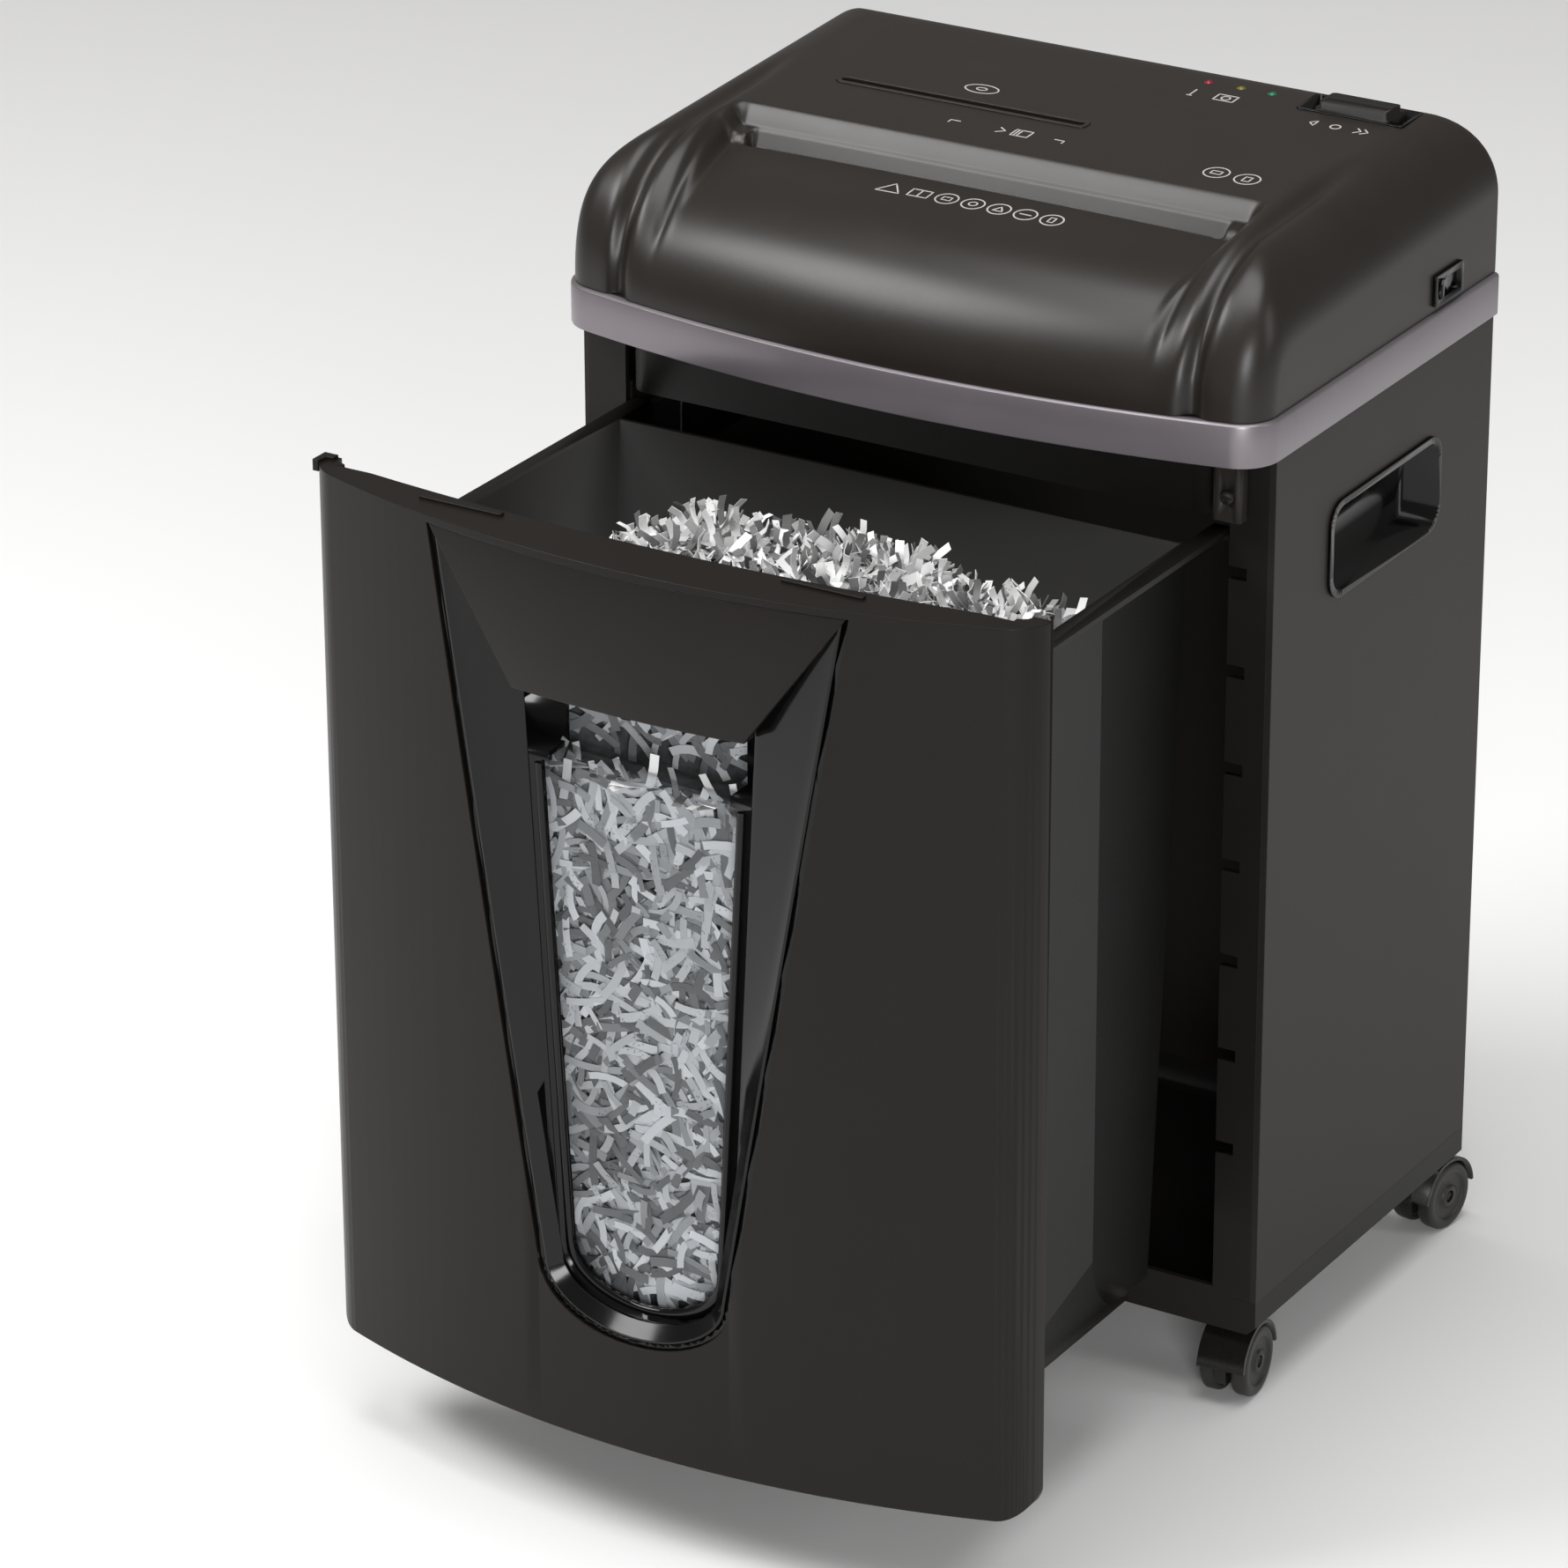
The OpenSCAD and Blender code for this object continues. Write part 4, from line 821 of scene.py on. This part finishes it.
    def cover(self) -> None:
        """Builds the top cover and cuts its openings."""
        made = [linked(name, solid(name, *part, lift=CABINET_Y)) for name, part in (
            ("cover_shell", self.shell()), ("cover_cuts", self.cutters()))]
        cut = made[0].modifiers.new("cut", "BOOLEAN")
        cut.operation, cut.solver, cut.object = "DIFFERENCE", "EXACT", made[1]
        bpy.context.view_layer.update()
        cover = evaluated(made[0], "head_cover")
        bpy.data.objects.remove(made[1])
        settle(cover, Look.charcoal, Body.CABINET, ("top_cover",), 40.0)

    def throat(self) -> None:
        """The paper throat under the cover, open for the start lever."""
        low, high, ends, slot = 515.0, 543.0, 123.0, 115.0
        front, near, far, back = -65.0, -53.2, -47.0, -35.0
        lever, bridge = 2.6, 3.0
        verts, faces = joined(
            box((-ends, front, low), (ends, near, high)),
            box((-ends, far, low), (-lever, back, high)),
            box((lever, far, low), (ends, back, high)),
            box((-lever, far, high - bridge), (lever, back, high)),
            box((-ends, near, low), (-slot, far, high)),
            box((slot, near, low), (ends, far, high)))
        piece("paper_throat", verts, faces, Look.gloss, Body.CABINET,
              ("entry_throat",), lift=CABINET_Y)

    def band(self) -> None:
        """The satin grey band round the foot of the head."""
        line = Bow(self.half, self.front, self.back, self.bow, self.corner)
        profile = [(-1.8, BAND_Z + 0.2), (1.2, BAND_Z + 0.2), (1.75, BAND_Z + 0.5),
                   (2.0, BAND_Z + 1.1), (2.0, HEAD_BASE - 2.0), (1.7, HEAD_BASE - 1.1),
                   (0.9, HEAD_BASE - 0.5), (0.2, HEAD_BASE - 0.3), (-1.8, HEAD_BASE - 0.3)]
        verts, faces = line.sweep(profile)
        piece("grey_band", verts, faces, Look.band, Body.CABINET, ("trim_band",),
              lift=CABINET_Y)

    def on_top(self, x: float, y: float) -> float:
        """Height of the cover at one point."""
        return float(self.height(np.array([x]), np.array([y]))[0])


# ---------------------------------------------------------------- printed symbols


@dataclass
class Symbols:
    """Plain generic symbols printed on the cover; sizes in mm."""

    head: CutterHead
    stroke: float = 0.75
    rise: float = 0.07
    sunk: float = 0.25

    def ribbon(self, points: list[tuple[float, float]], closed: bool) -> tuple[list, list]:
        """Makes a thin strip that lies on the cover.

        Args:
            points: the line in plan.
            closed: whether its end joins its start.

        Returns:
            Points and faces.
        """
        line = list(points) + ([points[0]] if closed else [])
        fine: list[tuple[float, float]] = []
        for a, b in zip(line, line[1:]):
            n = max(1, int(math.dist(a, b) / 1.6))
            fine += [(a[0] + (b[0] - a[0]) * i / n, a[1] + (b[1] - a[1]) * i / n)
                     for i in range(n)]
        if not closed:
            fine.append(line[-1])
        rings = []
        for i, (x, y) in enumerate(fine):
            if closed:
                before, after = fine[i - 1], fine[(i + 1) % len(fine)]
            else:
                before, after = fine[max(i - 1, 0)], fine[min(i + 1, len(fine) - 1)]
            dx, dy = after[0] - before[0], after[1] - before[1]
            size = math.hypot(dx, dy) or 1.0
            nx, ny = -dy / size * self.stroke / 2, dx / size * self.stroke / 2
            ring = []
            for sx, sz in ((1, -self.sunk), (1, self.rise), (-1, self.rise),
                           (-1, -self.sunk)):
                px, py = x + sx * nx, y + sx * ny
                ring.append((px, py, self.head.on_top(px, py) + sz))
            rings.append(ring)
        return tube(rings, closed)

    def ring(self, cx: float, cy: float, rx: float, ry: float,
             n: int = 20) -> tuple[list, bool]:
        """A circle or an ellipse."""
        return ([(cx + rx * math.cos(2 * math.pi * i / n), cy + ry * math.sin(2 * math.pi * i / n))
                 for i in range(n)], True)

    def frame(self, cx: float, cy: float, w: float, h: float) -> tuple[list, bool]:
        """A rectangle."""
        return ([(cx - w / 2, cy - h / 2), (cx + w / 2, cy - h / 2), (cx + w / 2, cy + h / 2),
                 (cx - w / 2, cy + h / 2)], True)

    def strokes(self) -> list[tuple[list, bool]]:
        """Draws every symbol.

        Returns:
            Each line in plan, and whether it is closed.
        """
        made: list[tuple[list, bool]] = []
        made += [self.ring(-45, 25, 8.5, 5), self.ring(-45, 25, 2.6, 1.6)]
        made += [([(-38, -18), (-38, -15), (-33, -15)], False),
                 ([(21, -18), (21, -15), (16, -15)], False)]
        made += [self.frame(0, -15.5, 7, 7), self.frame(-3.5, -15.5, 3.2, 7),
                 ([(-13, -13), (-9, -16), (-13, -19)], False)]
        made += [self.ring(100, -17, 6, 6), self.ring(116, -18, 6, 6),
                 self.frame(100, -17, 5, 3.4), self.frame(116, -18, 3.4, 5)]
        made += [([(43, 62), (43, 70)], False), ([(41.6, 62), (44.4, 62)], False),
                 self.frame(60, 66, 10, 7), self.ring(60, 66, 2.1, 2.1)]
        made += [([(108, 57), (111, 60), (111, 54)], True), self.ring(121, 57, 2.4, 2.4),
                 ([(131, 60), (134, 57), (131, 54)], False),
                 ([(134.5, 60), (137.5, 57), (134.5, 54)], False)]
        y = -72.0
        made += [([(-42, y - 4), (-36, y + 5), (-30, y - 4)], True),
                 self.frame(-21, y, 10, 7), ([(-21, y - 3.5), (-21, y + 3.5)], False)]
        for k in range(5):
            cx = -7 + 13.5 * k
            made += [self.ring(cx, y, 5.4, 5.4)]
            made += [[self.frame(cx, y, 4.4, 3.2), self.ring(cx, y, 2.0, 2.0),
                      ([(cx - 2.5, y - 2), (cx, y + 2.5), (cx + 2.5, y - 2)], True),
                      ([(cx - 3, y), (cx + 3, y)], False), self.frame(cx, y, 2.6, 4.6)][k]]
        return made

    def build(self) -> None:
        """Makes the print on the cover."""
        verts, faces = joined(*[self.ribbon(*line) for line in self.strokes()])
        piece("cover_print", verts, faces, Look.ink, Body.CABINET, lift=CABINET_Y)


# ---------------------------------------------------------------- bin


@dataclass
class BinFront:
    """The bin's front: facets of the recess, gasket, pull plate, rim tabs; sizes in mm."""

    front: float = 155.0
    bow: float = 510.0
    recess_top: float = 108.0
    recess_low: float = 50.0
    recess_foot: float = 100.0
    window_top: float = 50.0
    window_low: float = 38.0
    window_foot: float = 114.0
    window_high: float = 367.5
    squash: float = 0.62          # height of an outline's round foot, as a share of its half

    def skin(self, x: float) -> float:
        """Y of the panel's front surface, from the bin's own zero."""
        return self.bow - self.front - math.sqrt(self.bow**2 - x**2)

    def path(self, top: float, low: float, foot: float, high: float, z_top: float,
             grow: float, n: int = 26) -> list[tuple[float, float]]:
        """Follows a tapered outline with a round foot, from the right top to the left top.

        Args:
            top: half width at the top.
            low: half width at the knee, where the foot starts.
            foot: height of the lowest point.
            high: height at which the half width is top.
            z_top: height at which the line starts and ends.
            grow: distance outwards from the outline.
            n: steps round the foot.

        Returns:
            X and Z of the points.
        """
        knee = foot + low * self.squash
        lean = (top - low) / (high - knee)
        norm = math.hypot(1.0, lean)
        right = [(low + lean * (z - knee) + grow * norm, z)
                 for z in np.linspace(z_top, knee, 14)]
        arc = []
        for i in range(1, n):
            a = -math.pi * i / n
            x, z = low * math.cos(a), knee + low * self.squash * math.sin(a)
            nx, nz = math.cos(a) * self.squash, math.sin(a)
            size = math.hypot(nx, nz)
            arc.append((x + grow * nx / size, z + grow * nz / size))
        return right + arc + [(-x, z) for x, z in reversed(right)]

    def facets(self) -> None:
        """Sloping gloss facets between the panel's opening and the window."""
        z_top = 465.0
        outer = (self.recess_top, self.recess_low, self.recess_foot, RIM_TOP + 10, z_top)
        inner = (self.window_top, self.window_low, self.window_foot, self.window_high, z_top)
        rims = [self.path(*outer, -3.0), self.path(*outer, -4.2), self.path(*outer, -10.0),
                self.path(*inner, 9.0), self.path(*inner, 6.5)]
        rings = []
        floor = self.front - 12.9
        for (x0, z0), (x1, z1), (x2, z2), (x3, z3), (x4, z4) in zip(*rims):
            edge = -self.skin(x0) - 1.2
            mid = floor + 0.52 * (edge - floor)
            rings.append([(x0, -edge, z0), (x1, -(edge + 0.35), z1), (x2, -mid, z2),
                          (x3, -(floor + 0.9), z3), (x4, -floor, z4), (x0, -floor + 0.02, z0)])
        verts, faces = tube(rings)
        piece("recess_facets", verts, faces, Look.gloss, Body.BIN, angle=24.0,
              lift=BIN_Y)

    def gasket(self) -> None:
        """Bead round the window."""
        line = self.path(self.window_top, self.window_low, self.window_foot, self.window_high,
                         366.0, 1.5, 34)
        y, wide, tall = -(self.front - 13.0), 1.9, 1.7
        arch = [(math.cos(a), math.sin(a)) for a in np.linspace(0, math.pi, 7)]
        rings = [[(x * (1 + wide * c / max(abs(x), 12.0)), y - tall * s,
                   z + (wide * c * (z - 240) / 130 if z < 138 else 0)) for c, s in arch]
                 for x, z in line]
        verts, faces = tube(rings)
        piece("window_gasket", verts, faces, Look.gloss, Body.BIN, lift=BIN_Y)

    def plate(self) -> None:
        """Pull plate, flush with the panel, with a finger lip at its foot."""
        low, high, foot_half, top_half = 402.4, 467.0, 58.0, 104.4
        rings = []
        profile = [(0.15, high), (0.0, high - 1), (0.0, low + 1.4), (0.4, low + 0.5),
                   (1.4, low), (8.0, low), (8.0, low + 2.6), (3.4, low + 3.6), (3.4, high)]
        for u in np.linspace(-1, 1, 57):
            ring = []
            for inward, z in profile:
                t = (z - low) / (high - low)
                x = u * (foot_half + (top_half - foot_half) * t)
                ring.append((x, self.skin(x) + inward, z))
            rings.append(ring)
        verts, faces = tube(rings)
        piece("pull_plate", verts, faces, Look.panel, Body.BIN, ("pull_handle",),
              lift=BIN_Y)

    def tabs(self) -> None:
        """Two thin tabs on the rear edge of the rim, and the catch at its left end."""
        parts = []
        for x0, x1 in ((-119.0, -77.0), (64.0, 104.0)):
            parts.append(box((x0, -129.5, RIM_TOP - 1.5), (x1, -126.5, RIM_TOP + 1.1)))
        hook = [(-183.0, -108.2), (-176.0, -108.2), (-176.0, -112.0), (-179.2, -112.4),
                (-180.2, -118.0), (-183.0, -118.0)]
        parts.append(prism(hook, RIM_TOP - 4, RIM_TOP + 1.3))
        verts, faces = joined(*parts)
        piece("rim_tabs", verts, faces, Look.panel, Body.BIN, lift=BIN_Y)

    def build(self) -> None:
        """Builds every piece of the front."""
        self.facets()
        self.gasket()
        self.plate()
        self.tabs()


@dataclass
class Shreds:
    """Shredded paper: a heap in the bin, and strips pressed against the window."""

    strip_l: float = 33.0
    strip_w: float = 3.7
    strip_t: float = 0.22
    seed: int = 7

    def heap_z(self, x: float, y: float) -> float:
        """Finds the height of the heap.

        Args:
            x: X in the bin.
            y: Y from the bin's own zero.

        Returns:
            Height above the floor.
        """
        z = 417 + 4 * math.sin(x / 31 + 1) + 4 * math.cos(y / 27 + x / 60) + 3 * math.sin(x / 14)
        z -= 26 * float(ease((-x - 60) / 80)) + 10 * float(ease((x - 100) / 45))
        z -= 24 * float(ease((y - 10) / 50)) + 10 * float(ease((-95 - y) / 40))
        return z

    def front_y(self, x: float) -> float:
        """Y of the paper's front face behind the window and the bin's front wall."""
        return -132.0 + x * x / 900

    def core(self) -> None:
        """The mass of paper under the loose strips, coloured dark as painted shade for the gaps
        between them.
        """
        rings = []
        for x in np.linspace(-141, 141, 40):
            y0 = max(self.front_y(x), -128.5)
            back = [(x, y0 + 13 + (47.0 - y0) * v, self.heap_z(x, y0 + 13 + (47.0 - y0) * v) - 7.0)
                    for v in np.linspace(0, 1, 22)]
            low = [(x, y0 + (38.0 - y0) * v, 86.0) for v in np.linspace(1, 0, 14)]
            front = [(x, y0, z) for z in np.linspace(100, 364, 6)] + [(x, y0 + 13, 366.0)]
            rings.append(back + low + front)
        verts, faces = tube(rings)
        # the core wears the dark paper: painted shade seen between the strips
        piece("shred_core", verts, faces, Look.heap, Body.BIN, lift=BIN_Y)

    def strip(self, kind: int, flat: bool = False) -> bpy.types.Object:
        """One strip of paper, thin and closed.

        Args:
            kind: which of the five shapes.
            flat: whether it curves in its own plane, or curls out of it.

        Returns:
            The strip, not in any collection.
        """
        rng = random.Random(self.seed + kind)
        n = 7
        bend = (0.35, 1.2, -0.8, 0.15, 1.9)[kind] * (0.45 if flat else 1.0)
        twist = rng.uniform(-1.1, 1.1) * (0.25 if flat else 1.0)
        length = self.strip_l * (0.75, 1.0, 1.2, 0.6, 0.9)[kind]
        rings = []
        for i in range(n + 1):
            s = i / n - 0.5
            a = bend * s * 2
            x = length * math.sin(a) / (2 * bend)
            rise = length * (1 - math.cos(a)) / (2 * bend)
            t = twist * s
            ring = []
            for u, w in CORNERS:
                yy, tt = u * self.strip_w / 2, w * self.strip_t / 2
                if flat:
                    ring.append((x - yy * math.sin(a), rise + yy * math.cos(a),
                                 tt + yy * math.sin(t)))
                else:
                    ring.append((x - tt * math.sin(a), yy * math.cos(t) - tt * math.sin(t),
                                 rise + tt * math.cos(a) + yy * math.sin(t)))
            rings.append(ring)
        verts, faces = tube(rings)
        name = f"strip_{kind}_flat" if flat else f"strip_{kind}"
        return bpy.data.objects.new(name, solid(name, verts, faces))

    def tree(self, strips: bpy.types.Collection) -> bpy.types.NodeTree:
        """Geometry nodes that scatter the strips over a surface.

        Args:
            strips: the collection of strip shapes.

        Returns:
            The node group, with Density, Tilt, Seed and Material as its inputs.
        """
        group = bpy.data.node_groups.new("scatter_shreds", "GeometryNodeTree")
        face = group.interface
        face.new_socket("Geometry", in_out="INPUT", socket_type="NodeSocketGeometry")
        for name, kind in (("Density", "NodeSocketFloat"), ("Tilt", "NodeSocketFloat"),
                           ("Seed", "NodeSocketInt"), ("Material", "NodeSocketMaterial")):
            face.new_socket(name, in_out="INPUT", socket_type=kind)
        face.new_socket("Geometry", in_out="OUTPUT", socket_type="NodeSocketGeometry")
        nodes, links = group.nodes, group.links

        def add(kind: str, settings: dict | None = None,
                values: dict | None = None) -> bpy.types.Node:
            """Adds a node with its properties and its inputs' values or links."""
            node = nodes.new(kind)
            for key, value in (settings or {}).items():
                setattr(node, key, value)
            for key, value in (values or {}).items():
                if isinstance(value, bpy.types.NodeSocket):
                    links.new(value, node.inputs[key])
                else:
                    node.inputs[key].default_value = value
            return node

        given = add("NodeGroupInput").outputs
        spread = add("GeometryNodeDistributePointsOnFaces", {"distribute_method": "RANDOM"},
                     {"Mesh": given["Geometry"], "Density": given["Density"],
                      "Seed": given["Seed"]})
        info = add("GeometryNodeCollectionInfo", {"transform_space": "ORIGINAL"},
                   {"Collection": strips, "Separate Children": True, "Reset Children": True})
        low = add("ShaderNodeCombineXYZ")
        high = add("ShaderNodeCombineXYZ", values={"X": given["Tilt"], "Y": given["Tilt"],
                                                   "Z": math.tau})
        for axis in ("X", "Y"):
            minus = add("ShaderNodeMath", {"operation": "MULTIPLY"},
                        {0: given["Tilt"], 1: -1.0})
            links.new(minus.outputs[0], low.inputs[axis])
        turn = add("FunctionNodeRandomValue", {"data_type": "FLOAT_VECTOR"},
                   {0: low.outputs[0], 1: high.outputs[0], "Seed": given["Seed"]})
        aligned = add("FunctionNodeRotateEuler", {"rotation_type": "EULER", "space": "LOCAL"},
                      {"Rotation": spread.outputs["Rotation"], "Rotate By": turn.outputs[0]})
        grow = add("FunctionNodeRandomValue", {"data_type": "FLOAT"},
                   {2: 0.75, 3: 1.2, "Seed": given["Seed"]})
        place = add("GeometryNodeInstanceOnPoints", None,
                    {"Points": spread.outputs["Points"], "Instance": info.outputs[0],
                     "Pick Instance": True, "Rotation": aligned.outputs[0],
                     "Scale": grow.outputs[1]})
        tone = add("FunctionNodeRandomValue", {"data_type": "FLOAT"}, {2: 0.0, 3: 1.0})
        kept = add("GeometryNodeStoreNamedAttribute", {"data_type": "FLOAT",
                                                       "domain": "INSTANCE"},
                   {"Geometry": place.outputs[0], "Name": "shade", "Value": tone.outputs[1]})
        real = add("GeometryNodeRealizeInstances", None, {"Geometry": kept.outputs[0]})
        dressed = add("GeometryNodeSetMaterial", None,
                      {"Geometry": real.outputs[0], "Material": given["Material"]})
        links.new(dressed.outputs[0], add("NodeGroupOutput").inputs[0])
        return group

    def bed(self, name: str, rows: list[list]) -> bpy.types.Object:
        """Makes a sheet that strips are scattered over.

        Args:
            name: the sheet's name.
            rows: rows of points in mm.

        Returns:
            The sheet.
        """
        n = len(rows[0])
        mesh = bpy.data.meshes.new(name)
        mesh.from_pydata([(x * MM, (y + BIN_Y) * MM, z * MM) for row in rows
                          for x, y, z in row], [],
                         [(i * n + j, (i + 1) * n + j, (i + 1) * n + j + 1, i * n + j + 1)
                          for i in range(len(rows) - 1) for j in range(n - 1)])
        return linked(name, mesh)

    def scatter(self) -> None:
        """Scatters strips over the heap and behind the window."""
        groups = []
        for flat in (False, True):
            strips = bpy.data.collections.new("strips_flat" if flat else "strips_curled")
            for kind in range(5):
                strips.objects.link(self.strip(kind, flat))
            groups.append((self.tree(strips), strips))
        xs = np.linspace(-126, 126, 30)
        tops, deep = ([[(x, y, self.heap_z(x, y) - sunk) for y in np.linspace(
            self.front_y(x) + 26, back, 22)] for x in xs]
            for back, sunk in ((44, 0.0), (46, 5.0)))
        glass = []
        for z in np.linspace(114, 358, 30):
            half = min(56.0, 38 + 0.075 * (z - 100))
            glass.append([(x, -133.2, z) for x in np.linspace(-half, half, 10)])
        step = [[(x, -119.5, z) for x in np.linspace(-56, 56, 8)]
                for z in np.linspace(374, 402, 5)]
        ledge = [[(x, y, 362.5) for x in np.linspace(-56, 56, 8)]
                 for y in np.linspace(-133, -114, 4)]
        behind = [[(x, y + 3.2, z) for x, y, z in row] for row in glass]
        jobs = (("shreds_on_heap", 0, tops, 21000.0, 0.9, 3),
                ("shreds_in_heap", 0, deep, 22000.0, 0.4, 4),
                ("shreds_at_window", 1, glass, 21000.0, 0.18, 5),
                ("shreds_behind_window", 1, behind, 26000.0, 0.25, 6),
                ("shreds_at_pocket", 1, step, 18000.0, 0.12, 9),
                ("shreds_under_step", 1, ledge, 26000.0, 0.15, 11))
        for name, kind, rows, density, tilt, seed in jobs:
            bed = self.bed(name + "_bed", rows)
            # strips by the window take the lighter paper, painted light; the heap's strips take the
            # plain paper
            paper = Look.packed if kind else Look.shreds
            way = bed.modifiers.new("scatter", "NODES")
            group = groups[kind][0]
            way.node_group = group
            ids = {s.name: s.identifier for s in group.interface.items_tree
                   if s.in_out == "INPUT"}
            for key, value in (("Density", density), ("Tilt", tilt), ("Seed", seed),
                               ("Material", paper.material())):
                way[ids[key]] = value
            bpy.context.view_layer.update()
            settle(evaluated(bed, name), paper, Body.BIN)
        for _, strips in groups:
            for obj in list(strips.objects):
                bpy.data.objects.remove(obj)
            bpy.data.collections.remove(strips)

    def build(self) -> None:
        """Builds the heap and its strips."""
        self.core()
        self.scatter()


# ---------------------------------------------------------------- carried-over nodes


@dataclass
class Carried:
    """CAD nodes whose shape is already right, and the finish of each."""

    def finishes(self) -> dict[str, Dress]:
        """Finish of each material slot."""
        return {"textured_charcoal": Look.side, "frame_black": Look.frame,
                "gloss_black": Look.gloss, "band_grey": Look.band, "bin_black": Look.panel,
                "window_clear": Look.window, "red_lens": Look.red, "amber_lens": Look.amber,
                "green_lens": Look.green, "circuit_board": Look.board, "steel": Look.steel,
                "bush_bronze": Look.bronze, "pale_nylon": Look.nylon,
                "caster_black": Look.caster, "caster_tread": Look.tread}

    def build(self, done: set[str]) -> None:
        """Makes a smoothed, dressed copy of each node that no new piece stands for.

        Args:
            done: nodes that new pieces stand for.
        """
        record = frame["record"]
        slots = {s["node"]: s["material_slot"] for s in record["subparts"]}
        bodies = {n: b for b, nodes in record["behaviour"]["bodies"].items() for n in nodes}
        finishes = self.finishes()
        special = {"bin_box": Look.bin, "disc_slot_guide": Look.charcoal,
                   "safety_plunger": Look.frame, "power_rocker": Look.gloss}
        for node, slot in slots.items():
            if node not in done:
                refined(node, special.get(node, finishes[slot]), bodies[node])


# ---------------------------------------------------------------- room


@dataclass
class Studio:
    """Pale floor, soft lights and the camera; sizes in metres."""

    eye: tuple[float, float, float] = (1.543325, -2.627886, 1.645868)
    right: tuple[float, float, float] = (0.85348623, 0.52110103, -0.00387002)
    down: tuple[float, float, float] = (0.21018896, -0.35103490, -0.91246649)
    ahead: tuple[float, float, float] = (-0.47684574, 0.77796414, -0.40913314)
    lens: float = 167.445

    def camera(self) -> None:
        """Makes the camera."""
        data = bpy.data.cameras.new("camera")
        data.lens, data.sensor_width = self.lens, 36.0
        data.clip_start, data.clip_end = 0.05, 60.0
        obj = linked("camera", data)
        turn = Matrix([self.right, [-v for v in self.down], [-v for v in self.ahead]])
        obj.matrix_world = Matrix.Translation(self.eye) @ turn.transposed().to_4x4()
        bpy.context.scene.camera = obj

    def light(self, name: str, place: tuple, aim: tuple, size: tuple, power: float) -> None:
        """Makes one soft rectangular light.

        Args:
            name: the light's name.
            place: where it stands.
            aim: the point that it faces.
            size: its width and height.
            power: its power in watts.
        """
        data = bpy.data.lights.new(name, "AREA")
        data.shape, data.energy = "RECTANGLE", power
        data.size, data.size_y = size
        obj = linked(name, data)
        obj.location = place
        obj.rotation_mode = "QUATERNION"
        obj.rotation_quaternion = (Vector(aim) - Vector(place)).to_track_quat("-Z", "Y")

    def build(self) -> None:
        """Sets the floor, the world and the lights."""
        sh = Shader("pale_floor")
        pale = sh.mix(sh.noise(900.0, 2.0), (0.80, 0.80, 0.80, 1.0), (0.84, 0.84, 0.84, 1.0))
        floor_look = sh.finish(sh.node("ShaderNodeBsdfPrincipled", inputs={
            "Base Color": pale, "Roughness": 0.75, "Specular IOR Level": 0.2}))
        mesh = bpy.data.meshes.new("floor")
        size = 14.0
        mesh.from_pydata([(-size, -size, 0), (size, -size, 0), (size, size, 0),
                          (-size, size, 0)], [], [(0, 1, 2, 3)])
        mesh.materials.append(floor_look)
        linked("floor", mesh)
        world = bpy.data.worlds.new("studio")
        world.use_nodes = True
        world.node_tree.nodes["Background"].inputs[0].default_value = (1.0, 0.97, 0.95, 1.0)
        world.node_tree.nodes["Background"].inputs[1].default_value = 0.22
        bpy.context.scene.world = world
        bpy.context.scene.view_settings.view_transform = "Standard"
        self.light("key", (-1.5, -1.35, 2.6), (0.0, -0.05, 0.5), (1.5, 1.1), 66.0)
        self.light("overhead", (0.1, -0.2, 3.4), (0.0, 0.2, 0.0), (2.2, 2.2), 76.0)
        self.light("front", (2.1, -2.9, 1.2), (0.0, -0.2, 0.3), (1.0, 1.0), 60.0)
        self.light("right", (2.5, 0.4, 1.5), (0.1, 0.1, 0.3), (0.8, 1.6), 10.0)
        self.camera()


def main() -> None:
    """Builds the studio, then each sub-assembly in order."""
    logging.basicConfig(level=logging.INFO, format="%(name)s %(message)s")
    Studio().build()
    head = CutterHead()
    head.cover()
    head.throat()
    head.band()
    Symbols(head).build()
    BinFront().build()
    Shreds().build()
    Carried().build({"top_cover", "entry_throat", "trim_band", "pull_handle"})


if __name__ == "__main__":
    main()
